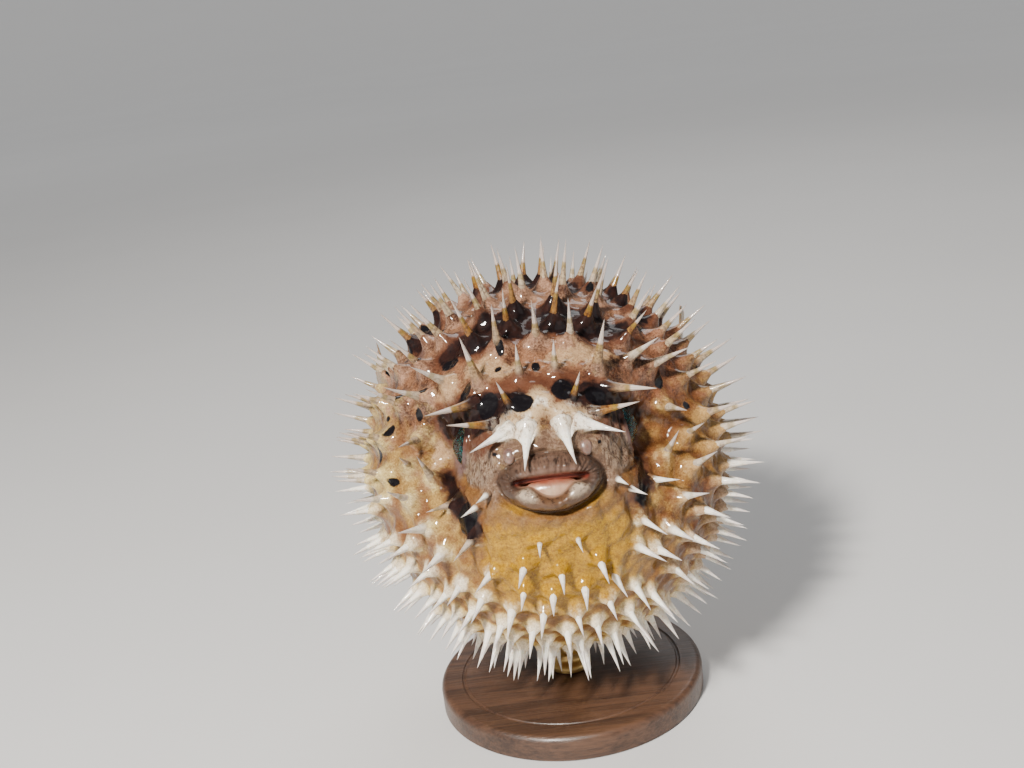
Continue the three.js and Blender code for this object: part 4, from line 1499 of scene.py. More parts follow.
class FloorFinish(Finish):
    """The plain pale studio floor, which glows faintly far away so that it stays pale there."""

    title: str = "studio_floor"
    cool: Color = (0.60, 0.59, 0.58)
    warm: Color = (0.64, 0.63, 0.62)
    grain: Grain = Grain(0.01, 2)
    glow: Color = (0.25, 0.25, 0.25)
    glow_fade: Fade = Fade(400, 1500)

    def dress(self) -> None:
        """Adds a faint tint, and the glow far away."""
        away = self.add("ShaderNodeVectorMath", {0: self.places()}, operation="LENGTH").outputs["Value"]
        glow = self.mix(self.fade(away, self.glow_fade), (0.0, 0.0, 0.0), self.glow)
        tint = self.mix(self.noise(self.grain), self.cool, self.warm)
        self.linked(Base_Color=tint, Emission_Color=glow)
        self.constant(Roughness=0.6, Emission_Strength=1.0)


class Finishes:
    """Every material of the model."""

    def __init__(self) -> None:
        """Builds the shared groups, and every material from them."""
        shared = SharedGroups()
        self.skin = SkinFinish(shared).material
        self.spine = SpineFinish(shared).material
        self.iris = IrisFinish(shared).material
        self.cornea = CorneaFinish(shared).material
        self.beak = BeakFinish(shared).material
        self.flap = FlapFinish(shared).material
        self.fin = FinFinish(shared).material
        self.wood = WoodFinish(shared).material
        self.brass = BrassFinish(shared).material
        self.floor = FloorFinish(shared).material


# ---- meshes


@dataclass
class Shape:
    """A mesh in the making: points in metres, faces, and values carried by the points."""

    points: Array
    faces: list[tuple[int, ...]]
    values: dict[str, Array]
    uv: Array | None = None

    def build(self, name: str, material: Material) -> Piece:
        """Makes the smooth-shaded object, with its OFBake map where it has one.

        Args:
            name: the piece's name.
            material: its finish.

        Returns:
            The object, linked to the scene.
        """
        mesh = bpy.data.meshes.new(name)
        mesh.from_pydata(self.points.tolist(), [], self.faces)
        mesh.update()
        mesh.polygons.foreach_set("use_smooth", [True] * len(mesh.polygons))
        for key, values in self.values.items():
            attribute = mesh.attributes.new(key, "FLOAT", "POINT")
            attribute.data.foreach_set("value", np.asarray(values, dtype=np.float32))
        if self.uv is not None:
            corners = np.zeros(len(mesh.loops), dtype=np.int32)
            mesh.loops.foreach_get("vertex_index", corners)
            layer = mesh.uv_layers.new(name="OFBake")
            layer.data.foreach_set("uv", self.uv[corners].astype(np.float32).ravel())
        mesh.materials.append(material)
        piece = bpy.data.objects.new(name, mesh)
        bpy.context.scene.collection.objects.link(piece)
        return piece


def grid_faces(rows: int, columns: int, start: int = 0, closed: bool = True) -> list[tuple[int, ...]]:
    """Gives the quads of a grid of points, row after row.

    Args:
        rows: rows of points.
        columns: points in each row.
        start: the first point's number.
        closed: whether the last column joins the first.

    Returns:
        The quads, as point numbers.
    """
    faces = []
    for r in range(rows - 1):
        for c in range(columns if closed else columns - 1):
            d = (c + 1) % columns
            a, b = start + r * columns, start + (r + 1) * columns
            faces.append((a + c, b + c, b + d, a + d))
    return faces


def closed_faces(rows: int, columns: int) -> list[tuple[int, ...]]:
    """Gives the faces of rings of points with one more point at each end.

    Args:
        rows: the rings.
        columns: points in each ring.

    Returns:
        The quads between the rings and the triangles at both ends.
    """
    faces = grid_faces(rows, columns)
    front, rear, last = rows * columns, rows * columns + 1, (rows - 1) * columns
    for i in range(columns):
        j = (i + 1) % columns
        faces += [(front, i, j), (rear, last + j, last + i)]
    return faces


def lathe(profile: Sequence[tuple[float, float]], steps: int, base_height: float) -> Shape:
    """Turns a profile about the stand's axis.

    Args:
        profile: radius and height of each point, in millimetres, from the bottom round to the top.
        steps: points round each ring.
        base_height: added to each height.

    Returns:
        The turned shape, in metres.
    """
    angles = np.linspace(0, 2 * math.pi, steps, endpoint=False)
    rings = []
    for radius, height in profile:
        level = np.full(steps, height + base_height)
        rings.append(np.stack([radius * np.cos(angles), radius * np.sin(angles), level], axis=-1))
    faces = [tuple(reversed(face)) for face in grid_faces(len(profile), steps)]
    return Shape(np.concatenate(rings) * MM, faces, {})


# Lasting folds of the skin on each side: depth, half width, and the places along each in degrees.
FOLDS = (
    (0.55, 0.7, (15, 19), (20, 14.5), (27, 15), (33, 18.5)),
    (0.7, 1.0, (15.5, 15.5), (20.5, 9), (22, 0), (19, -12)),
    (0.35, 0.8, (12, 8), (14.5, -2), (12.5, -12)),
    (0.6, 1.1, (30, 3), (33, -8), (31, -18)),
    (0.6, 1.2, (44, 12), (41, 2), (43, -8)),
    (1.5, 0.65, (88, 32), (91, 24), (89, 16)),
)


@dataclass
class Skin:
    """The one skin of the whole fish."""

    plan: SpinePlan
    spines: list[Spine]
    markings: Markings
    turns: int = 300
    web_reach: float = 2.7
    eye_centre: Triple = (13.2, -27, 15.8)
    eye_facing: tuple[float, float] = (94, 10)
    eye_radius: float = 5.4
    eye_opening: float = 54.0
    lid_thickness: float = 0.5
    lid_creases: tuple[tuple[float, float], ...] = ((16, 0.42), (31, 0.34), (46, 0.22))
    upper_lip: float = 1.8
    lower_lip: float = 2.9
    lip_furrow: float = 0.9
    lip_grooves: int = 34
    groove_depth: float = 0.16
    lobe_height: float = 1.3
    notch_depth: float = 0.35
    foot_height: float = 1.25
    foot_reach: float = 1.35
    web_half_width: float = 0.95
    web_height: float = 0.95
    web_limit: float = 60
    ripples: tuple[tuple[float, float, int], ...] = ((0.26, 5.5, 3), (0.13, 2.6, 5))

    def rings(self) -> Array:
        """Gives the ring angles in degrees: closest round the lips and the face.

        Returns:
            The angles, in degrees.
        """
        return np.concatenate(
            [
                np.linspace(2, 8.6, 7, endpoint=False),
                np.linspace(8.6, 17.5, 56, endpoint=False),
                np.linspace(17.5, 54, 94, endpoint=False),
                np.linspace(54, 150, 128, endpoint=False),
                np.linspace(150, 179, 34),
            ]
        )

    def lip_rise(self, ring: Array, turn: Array) -> tuple[Array, Array]:
        """Gives how far the lips stand out and the gape sinks in.

        Args:
            ring: radians from the mouth.
            turn: radians round it.

        Returns:
            Millimetres of rise, and a coordinate from 0 at the gape's edge to 1 at the lips' outer edge.
        """
        gape, lip = math.radians(BODY.gape_half_width), math.radians(BODY.lip_half_width)
        across = (ring - gape) / (lip - gape)
        within = np.clip(across, 0, 1)
        low = smooth(0.15, -0.35, np.sin(turn))
        upper_roll = self.upper_lip * np.sin(math.pi * within**0.7) ** 0.75
        lower_roll = self.lower_lip * np.sin(math.pi * within**0.9) ** 0.8
        rise = upper_roll + (lower_roll - upper_roll) * low
        furrow = smooth(0.8, 1.02, across) * (1 - smooth(1.05, 1.75, across))
        rise = rise - (self.lip_furrow + 0.7 * low) * furrow
        grooves = np.sin(turn * self.lip_grooves + 1.5 * np.sin(turn * 9)) * np.sin(math.pi * within)
        grooves = self.groove_depth * grooves * (1 - 0.6 * low)
        deep = BODY.gape_depth * (1 - 0.72 * smooth(-0.6, -0.1, np.sin(turn)))
        inside = -deep * (1 - smooth(0.8 * gape, gape, ring))
        return np.where(across < 0, inside, rise + grooves), across

    def lip_lobes(self, across: Array, turn: Array) -> Array:
        """Gives how far the lower lip stands up into the gape: a lobe on each side of a notch.

        Args:
            across: the coordinate across the lips.
            turn: radians round the mouth.

        Returns:
            Millimetres upwards.
        """
        notch = np.exp(-((np.cos(turn) / 0.3) ** 2)) * smooth(0.0, -0.4, np.sin(turn))
        lobes = self.lobe_height * self.lobe_share(turn) - self.notch_depth * notch
        return lobes * smooth(-0.5, 0.0, across) * (1 - smooth(0.3, 1.0, across))

    def lobe_share(self, turn: Array) -> Array:
        """Gives how far each place round the mouth lies in one of the lower lip's two lobes."""
        return np.exp(-(((np.abs(np.cos(turn)) - 0.58) / 0.27) ** 2)) * smooth(0.0, -0.4, np.sin(turn))

    def mounds(self, points: Array) -> tuple[Array, Array, Array]:
        """Raises the skin round each spine's foot, with webs to its neighbours.

        Args:
            points: the skin so far.

        Returns:
            The move of each point, the height of the raised skin, and the distance to the nearest spine.
        """
        roots = np.array([s.root for s in self.spines])
        pointing = np.array([s.pointing for s in self.spines])
        side, up = tangents(unit(roots))
        mound = np.array([s.mound for s in self.spines])
        web = np.array([s.web for s in self.spines])
        broad = np.array([s.flesh for s in self.spines])
        reach = np.array([s.reach for s in self.spines])
        moves, heights, nearest = [], [], []
        for chunk in np.array_split(points, 24):
            offset = chunk[:, None, :] - roots[None]
            u = np.einsum("ijk,jk->ij", offset, side)
            v = np.einsum("ijk,jk->ij", offset, up)
            squared = np.einsum("ijk,ijk->ij", offset, offset)
            foot = self.foot_height * np.exp(-squared / self.foot_reach**2)
            foot = mound * (foot + broad * np.exp(-squared / reach**2))
            hang = (v + 0.12 * u * u) / self.web_half_width
            spread = np.exp(-((np.abs(u) / self.web_reach) ** 2) - hang**2)
            spread = spread * web * (squared < self.web_limit) * self.web_height
            total = foot + spread
            moves.append(foot @ pointing + spread.sum(axis=1)[:, None] * unit(chunk))
            heights.append(total.max(axis=1))
            nearest.append(np.sqrt(squared.min(axis=1)))
        return np.concatenate(moves), np.concatenate(heights), np.concatenate(nearest)

    def creases(self, directions: Array) -> Array:
        """Gives the depth of the skin's lasting folds, in millimetres.

        Args:
            directions: unit directions.

        Returns:
            One depth for each.
        """
        depth = np.zeros(len(directions))
        for side in (1, -1):
            for deep, width, *places in FOLDS:
                fold = Band(tuple((side * azimuth, elevation, 0) for azimuth, elevation in places))
                gap = -fold.inside(directions)
                depth += deep * np.exp(-((gap / width) ** 2))
                depth -= 0.35 * deep * np.exp(-(((gap - 2.1 * width) / width) ** 2))
        return depth

    def around_eye(self, points: Array, side: int) -> tuple[Array, Array]:
        """Draws the skin over the front of the eyeball as a lid, and sinks it under the open part.

        Args:
            points: the skin so far.
            side: 1 for the eye at +X, -1 for the other.

        Returns:
            The moved points, and how much each belongs to the lid.
        """
        centre = np.array(self.eye_centre) * np.array([side, 1, 1])
        axis = towards(side * self.eye_facing[0], self.eye_facing[1])
        reach = np.linalg.norm(points, axis=1)
        ray = points / reach[:, None]
        along = ray @ centre
        miss = centre @ centre - along**2
        shell = self.eye_radius + self.lid_thickness
        meets = (miss < shell**2) & (along > 0)
        outer = along + np.sqrt(np.maximum(shell**2 - miss, 0))
        under = along + np.sqrt(np.maximum((self.eye_radius - 1.3) ** 2 - miss, 0)) - 0.9
        spot = unit(ray * outer[:, None] - centre)
        angle = np.degrees(np.arccos(np.clip(spot @ axis, -1, 1)))
        closed = smooth(self.eye_opening - 4, self.eye_opening + 1, angle)
        covered = np.maximum(reach, outer)
        opened = np.minimum(reach, under)
        moved = np.where(meets, opened + (covered - opened) * closed, reach)

        offset = ray * moved[:, None] - centre
        apart = np.linalg.norm(offset, axis=1)
        angle = np.degrees(np.arccos(np.clip(offset @ axis / apart, -1, 1)))
        close = smooth(4.5, 1.0, apart - shell) * (along > 0)
        for at, depth in self.lid_creases:
            moved = moved - depth * close * np.exp(-(((angle - self.eye_opening - at) / 4.5) ** 2))
        lid = close * smooth(self.eye_opening + 14, self.eye_opening + 5, angle)
        return ray * moved[:, None], lid

    def shape(self) -> Shape:
        """Gives the whole skin with its pattern.

        Returns:
            The skin, in metres, with its OFBake map.
        """
        ring_angles = np.radians(self.rings())
        turn_angles = np.linspace(0, 2 * math.pi, self.turns, endpoint=False)
        ring, turn = (a.ravel() for a in np.meshgrid(ring_angles, turn_angles, indexing="ij"))
        ring, turn = np.append(ring, [0, math.pi]), np.append(turn, [0, 0])
        directions = BODY.direction_at(ring, turn)
        normals = BODY.normals(directions)
        rise, across = self.lip_rise(ring, turn)
        tilt = math.radians(BODY.axis_tilt)
        upright = np.array([0.0, math.sin(tilt), math.cos(tilt)])
        points = BODY.surface(directions) + rise[:, None] * BODY.mouth
        points = points + self.lip_lobes(across, turn)[:, None] * upright
        calm = smooth(-0.2, 1.6, across)
        points = points - (self.creases(directions) * calm)[:, None] * normals
        rough = sum(depth * ripple(points, wavelength, seed) for depth, wavelength, seed in self.ripples)
        points = points + (rough * calm)[:, None] * normals
        move, raised, nearest = self.mounds(points)
        points = points + move * calm[:, None]
        lid = np.zeros(len(points))
        for side in (1, -1):
            points, this_lid = self.around_eye(points, side)
            lid = np.maximum(lid, this_lid)

        values = self.markings.measure(directions)
        values |= {
            "lip_across": across,
            "lip_low": smooth(0.2, -0.4, np.sin(turn)) * smooth(1.0, 0.72, np.abs(np.cos(turn))),
            "lip_lobe": self.lobe_share(turn) * np.exp(-(((across - 0.38) / 0.34) ** 2)),
            "lip_corner": smooth(0.5, 0.9, np.abs(np.cos(turn))),
            "web": np.clip(raised / 1.9, 0, 1),
            "root_mm": nearest,
            "lid": lid,
        }
        faces = closed_faces(len(ring_angles), self.turns)
        return Shape(BODY.to_frame(points), faces, values, bake_places(directions))


def bake_places(directions: Array) -> Array:
    """Unwraps the skin onto a disc with the mouth in its middle and the tail round its rim.

    Args:
        directions: unit directions.

    Returns:
        One place on the map for each.
    """
    x, up = directions[:, 0], directions[:, 2]
    tilt = math.radians(BODY.axis_tilt)
    forward = -directions[:, 1] * math.cos(tilt) + up * math.sin(tilt)
    raised = directions[:, 1] * math.sin(tilt) + up * math.cos(tilt)
    angle = np.arccos(np.clip(forward, -1, 1))
    heading = np.arctan2(raised, x)
    out = DISC_RADIUS * angle / math.pi
    return np.stack([HALF + out * np.cos(heading), HALF + out * np.sin(heading)], axis=-1)


@dataclass
class SpineCoat:
    """The spines of one region, as one joined mesh."""

    region: Region
    spines: list[Spine]
    markings: Markings
    sides: int = 14
    foot_depth: float = 0.7
    shaft_radius: float = 0.74
    foot_flare: float = 0.85
    largest_patch: float = 0.02
    slimmest: float = 0.45
    full_length: float = 16
    tip_radius: float = 0.012

    @property
    def away_from_mouth(self) -> dict[str, float]:
        """Gives the skin's values that are the same at every root."""
        no_lip = {"lip_across": 9.0, "lip_low": 0.0, "lip_lobe": 0.0, "lip_corner": 0.0}
        return no_lip | {"web": 0.9, "root_mm": 1.6, "lid": 0.0}

    def steps(self, spine: Spine) -> Array:
        """Gives heights along a spine, close at the foot, at the sheath's end and at the tip.

        Args:
            spine: the spine.

        Returns:
            The heights, from below the skin to the tip.
        """
        length, ring = spine.length, spine.length * spine.sheath
        foot = np.linspace(-self.foot_depth, min(2.4, ring * 0.6), 6)
        middle = np.linspace(min(2.4, ring * 0.6), ring - 0.12, 4)[1:]
        outer = ring + (length - ring) * np.array([0.0, 0.03, 0.2, 0.4, 0.6, 0.78, 0.9, 0.97, 1.0])
        return np.concatenate([foot, middle, outer])

    def girth(self, spine: Spine, heights: Array) -> Array:
        """Gives the spine's radius at each height.

        Args:
            spine: the spine.
            heights: heights along it.

        Returns:
            One radius for each height.
        """
        share = np.clip(heights / spine.length, 0, 1)
        scale = spine.girth * min(1.0, self.slimmest + spine.length / self.full_length)
        size = self.shaft_radius * scale
        shaft = size * (1 - share**1.15) ** 0.9
        bare = smooth(spine.sheath - 0.01, spine.sheath + 0.02, share)
        shaft = shaft * (1 + 0.07 * (1 - bare))
        flare = self.foot_flare * (0.7 + 0.3 * spine.flesh) * scale
        flare = flare * np.exp(-np.maximum(heights + 0.3, 0) / (0.9 + 0.55 * spine.flesh))
        return shaft + flare + self.tip_radius

    def one(self, spine: Spine) -> tuple[Array, Array, Array]:
        """Gives a spine's points, its heights and its angles round the shaft.

        Args:
            spine: the spine.

        Returns:
            Three arrays, ring after ring.
        """
        heights = self.steps(spine)
        radii = self.girth(spine, heights)
        side, up = tangents(spine.pointing)
        bend = 0.05 * spine.length * stray(spine.key + 0.9)
        sag = np.clip(heights / spine.length, 0, 1) ** 2
        axis = spine.root + heights[:, None] * spine.pointing + (sag * bend)[:, None] * side
        axis = axis + (sag * bend * 0.6 * stray(spine.key + 0.95))[:, None] * up
        angles = np.linspace(0, 2 * math.pi, self.sides, endpoint=False)
        wheel = np.cos(angles)[:, None] * side + np.sin(angles)[:, None] * up
        points = axis[:, None, :] + radii[:, None, None] * wheel[None]
        return points.reshape(-1, 3), np.repeat(heights, self.sides), np.tile(angles, len(heights))

    def shape(self) -> Shape:
        """Joins the spines, with the skin's pattern at their roots.

        Returns:
            The spines, in metres, each with its own patch on the OFBake map.
        """
        places = np.array([s.place for s in self.spines])
        roots = np.array([s.root for s in self.spines])
        pattern = self.markings.measure(places)
        home = bake_places(places)
        apart = np.linalg.norm(home[:, None] - home[None], axis=-1) + np.eye(len(home))
        patch = np.minimum(self.largest_patch, 0.45 * apart.min(axis=1))
        points, faces, uv = [], [], []
        values: dict[str, list[Array]] = {}
        start = 0
        for i, spine in enumerate(self.spines):
            ring_points, heights, angles = self.one(spine)
            count = len(ring_points)
            share = np.clip(heights / spine.length, 0, 1)
            points.append(ring_points)
            faces += [tuple(reversed(face)) for face in grid_faces(count // self.sides, self.sides, start)]
            faces.append(tuple(start + count - self.sides + k for k in range(self.sides)))
            faces.append(tuple(start + self.sides - 1 - k for k in range(self.sides)))
            dark = float(smooth(-1.0, 0.8, pattern["bar_mm"][i]))
            own = {
                "along": share,
                "around": angles / 2 / math.pi,
                "bare_mm": heights - spine.length * spine.sheath,
                "white": np.full(count, spine.white * (1 - 0.9 * dark)),
                "amber": np.full(count, max(spine.amber, dark)),
            }
            own |= {key: np.full(count, value) for key, value in self.away_from_mouth.items()}
            own |= {key: np.full(count, field[i]) for key, field in pattern.items()}
            for key, field in own.items():
                values.setdefault(key, []).append(field)
            offset = np.stack([angles / 2 / math.pi - 0.5, share - 0.5], axis=-1) * patch[i]
            uv.append(home[i] + offset)
            start += count
        LOG.info("%s spines: %d", self.region.value, len(roots))
        joined = {key: np.concatenate(fields) for key, fields in values.items()}
        return Shape(BODY.to_frame(np.concatenate(points)), faces, joined, np.concatenate(uv))


@dataclass
class Eye:
    """One eye: a painted ball and the clear dome over it."""

    side: int
    centre: Triple = (13.2, -27, 15.8)
    facing: tuple[float, float] = (88, 11)
    radius: float = 5.4
    ball_inset: float = 0.5
    dish_depth: float = 0.9
    dish_spread: float = 0.62
    dome_rise: float = 0.35
    dome_spread: float = 0.5
    rings: int = 48
    steps: int = 64

    def ball(self, dome: bool) -> Shape:
        """Gives the clear dome, or the painted ball with its iris dished in.

        Args:
            dome: whether to give the dome.

        Returns:
            The form, in metres.
        """
        polar = np.linspace(0.0, math.pi, self.rings)[1:-1]
        angles = np.linspace(0, 2 * math.pi, self.steps, endpoint=False)
        across, along = (a.ravel() for a in np.meshgrid(polar, angles, indexing="ij"))
        axis = towards(self.side * self.facing[0], self.facing[1])
        side, up = tangents(axis)
        size = self.radius - (0 if dome else self.ball_inset)
        spread, out = size * np.sin(across), size * np.cos(across)
        if dome:
            out = out + self.dome_rise * np.exp(-((across / self.dome_spread) ** 2))
        else:
            dish = self.dish_depth * np.exp(-((across / self.dish_spread) ** 4))
            out = np.where(out > 0, out - dish, out)
        wheel = np.cos(along)[:, None] * side + np.sin(along)[:, None] * up
        points = out[:, None] * axis + spread[:, None] * wheel
        ends = np.stack([points[: self.steps].mean(axis=0), points[-self.steps :].mean(axis=0)])
        points = np.concatenate([points, ends]) + np.array(self.centre) * np.array([self.side, 1, 1])
        faces = closed_faces(self.rings - 2, self.steps)
        return Shape(BODY.to_frame(points), faces, {"iris_mm": np.append(spread, [0, 0])})

    def build(self, finishes: Finishes) -> list[Piece]:
        """Makes the ball and the dome in place of the plain eye.

        Args:
            finishes: every material.

        Returns:
            The two pieces.
        """
        name = "eye_right" if self.side > 0 else "eye_left"
        ball = self.ball(dome=False).build(f"{name}_ball", finishes.iris)
        dome = self.ball(dome=True).build(f"{name}_dome", finishes.cornea)
        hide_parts(name)
        for piece in (ball, dome):
            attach(piece, "root")
        return [ball, dome]


@dataclass
class FacePiece:
    """A small rounded form set in the face: a beak plate or a nostril flap."""

    name: str
    place: tuple[float, float]
    radii: Triple
    sunk: float
    power: float = 2.0
    sag: float = 0.0
    segments: int = 40

    def shape(self) -> Shape:
        """Gives the form, squarer in outline for a power over 2, its middle dropped by sag.

        Returns:
            The form, in metres.
        """
        direction = towards(*self.place)
        side, up = tangents(direction)
        centre = direction * (BODY.radius(direction[None])[0] - self.sunk)
        rows = self.segments // 2
        polar = np.linspace(0, math.pi, rows + 2)[1:-1]
        angles = np.linspace(0, 2 * math.pi, self.segments, endpoint=False)
        p, a = (v.ravel() for v in np.meshgrid(polar, angles, indexing="ij"))
        p, a = np.append(p, [0, math.pi]), np.append(a, [0, 0])
        x, y, z = np.sin(p) * np.cos(a), np.sin(p) * np.sin(a), np.cos(p)
        length = sum(np.abs(c) ** self.power for c in (x, y, z)) ** (1 / self.power)
        x, y, z = (c / length * r for c, r in zip((x, y, z), self.radii))
        y = y - self.sag * (1 - (x / self.radii[0]) ** 2)
        points = centre + x[:, None] * side + y[:, None] * up + z[:, None] * direction
        faces = closed_faces(rows, self.segments)
        return Shape(BODY.to_frame(points), faces, {"upward": y / self.radii[1]})

    def build(self, material: Material, slot: str) -> Piece:
        """Makes the piece in place of its plain solid.

        Args:
            material: its finish.
            slot: the library's name for its material, not used.

        Returns:
            The piece.
        """
        piece = self.shape().build(f"{self.name}_form", material)
        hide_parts(self.name)
        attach(piece, "root")
        return piece


@dataclass
class Fin:
    """A fan of soft rays with a thin membrane between them."""

    name: str
    root: tuple[float, float]
    pointing: tuple[float, float]
    base: float
    length: float
    spread: float
    rays: int
    ripple: float = 0.5
    sunk: float = 0.4
    hidden: float = 2.0
    half_thickness: float = 0.16
    root_flesh: float = 0.3
    ray_height: float = 0.14
    steps_per_ray: int = 6
    steps_out: int = 30

    def shape(self) -> Shape:
        """Gives the fin as one thin closed form with ribbed faces and a scalloped edge.

        Returns:
            The fin, in metres.
        """
        direction, along = towards(*self.root), towards(*self.pointing)
        paired = abs(self.root[0]) < 180
        line = np.array([0.0, 0.0, 1.0]) if paired else np.cross(np.array([1.0, 0.0, 0.0]), along)
        x_axis = unit(line - along * (line @ along))
        z_axis = np.cross(x_axis, along)
        root = direction * (BODY.radius(direction[None])[0] - self.sunk)
        columns = self.rays * self.steps_per_ray + 1
        shares, outs = np.linspace(-1, 1, columns), np.linspace(0, 1, self.steps_out)
        share, out = np.meshgrid(shares, outs, indexing="ij")
        ray = 0.5 + 0.5 * np.cos(2 * math.pi * self.rays * (share + 1) / 2)
        uneven = 0.014 * np.sin(2.3 * self.rays * share + 1.0) + 0.012 * np.sin(7.1 * share * self.rays / 4)
        edge = self.length * (1 - 0.14 * np.abs(share) ** 3) * (1 - (0.018 * (1 - ray) + uneven) * out**4)
        reach = -self.hidden + (edge + self.hidden) * out
        angle = np.radians(self.spread) * share * smooth(-0.15, 0.35, out)
        x = self.base / 2 * share * 0.9 + np.maximum(reach, 0) * np.sin(angle)
        y = np.where(reach < 0, reach, reach * np.cos(angle))
        wave = self.ripple * out**1.5 * np.sin(5 * share + 1.3 * out)
        half = self.half_thickness + self.root_flesh * (1 - out) ** 2
        half = half + self.ray_height * ray * (1 - 0.75 * out)
        half = half * np.sqrt(np.clip((1 - np.abs(share)) * columns / 3 + 0.12, 0, 1))
        half = half * np.sqrt(np.clip((1 - out) * self.steps_out / 3 + 0.12, 0, 1))
        points = []
        for face in (1, -1):
            z = wave + face * half
            points.append(root + x[..., None] * x_axis + y[..., None] * along + z[..., None] * z_axis)
        stacked = np.concatenate([p.reshape(-1, 3) for p in points])
        size = columns * self.steps_out
        top = grid_faces(columns, self.steps_out, 0, closed=False)
        bottom = [tuple(reversed([v + size for v in face])) for face in top]
        rim = self.rim_path(columns)
        sides = [(a, a + size, b + size, b) for a, b in zip(rim, rim[1:] + rim[:1])]
        values = {"ray": np.tile(ray.ravel(), 2), "reach": np.tile(out.ravel(), 2)}
        return Shape(BODY.to_frame(stacked), [tuple(reversed(f)) for f in (*top, *bottom)] + sides, values)

    def rim_path(self, columns: int) -> list[int]:
        """Gives the points round the fan's edge, in order.

        Args:
            columns: columns of points across the fan.

        Returns:
            The points' numbers.
        """
        rows = self.steps_out
        near = [c * rows for c in range(columns)]
        far_side = [(columns - 1) * rows + r for r in range(1, rows)]
        outer = [c * rows + rows - 1 for c in range(columns - 2, -1, -1)]
        return near + far_side + outer + [r for r in range(rows - 2, 0, -1)]

    def build(self, finishes: Finishes) -> Piece:
        """Makes the fin in place of its plain solid.

        Args:
            finishes: every material.

        Returns:
            The piece.
        """
        piece = self.shape().build(f"{self.name}_rays", finishes.fin)
        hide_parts(self.name)
        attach(piece, "root")
        return piece


@dataclass
class Fish:
    """The whole animal."""

    plan: SpinePlan
    markings: Markings
    fins: tuple[Fin, ...] = (
        Fin("fin_pectoral_left", (-112, 20), (-166, 9), 9.5, 17, 27, 20),
        Fin("fin_pectoral_right", (112, 20), (166, 9), 9.5, 17, 27, 20),
        Fin("fin_dorsal", (180, 35), (180, 29), 9, 15, 19, 14),
        Fin("fin_anal", (180, -6), (180, -25), 7.5, 12, 18, 14),
        Fin("fin_caudal", (180, 17), (180, 17), 8, 17, 17, 9),
    )
    face_pieces: tuple[FacePiece, ...] = (
        FacePiece("beak_upper", (0, 18.0), (4.6, 1.1, 2.6), 3.9, 2.3),
        FacePiece("beak_lower", (0, 14.1), (5.3, 2.6, 2.6), 2.7, 2.3, 0.1),
        FacePiece("nasal_flap_left", (-10.5, 23.8), (1.25, 1.6, 0.8), 0.2, 2.0, 0.3),
        FacePiece("nasal_flap_right", (10.5, 23.8), (1.25, 1.6, 0.8), 0.2, 2.0, 0.3),
    )

    def build(self, finishes: Finishes) -> None:
        """Makes every piece of the fish in order and reports each.

        Args:
            finishes: every material.
        """
        spines = self.plan.all_spines()
        skin = Skin(self.plan, spines, self.markings).shape().build("skin", finishes.skin)
        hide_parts(*(region.value for region in Region))
        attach(skin, "root")
        LOG.info("skin: %d faces", len(skin.data.polygons))
        for region in Region:
            own = [s for s in spines if s.region is region]
            if own:
                coat = SpineCoat(region, own, self.markings).shape()
                coat = coat.build(f"spines_{region.value}", finishes.spine)
                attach(coat, "root")
        for side in (1, -1):
            for piece in Eye(side).build(finishes):
                LOG.info("%s made", piece.name)
        for form in self.face_pieces:
            beak = form.name.startswith("beak")
            piece = form.build(finishes.beak if beak else finishes.flap, "beak" if beak else "nasal_flap")
            LOG.info("%s made", piece.name)
        for fin in self.fins:
            LOG.info("%s made", fin.build(finishes).name)


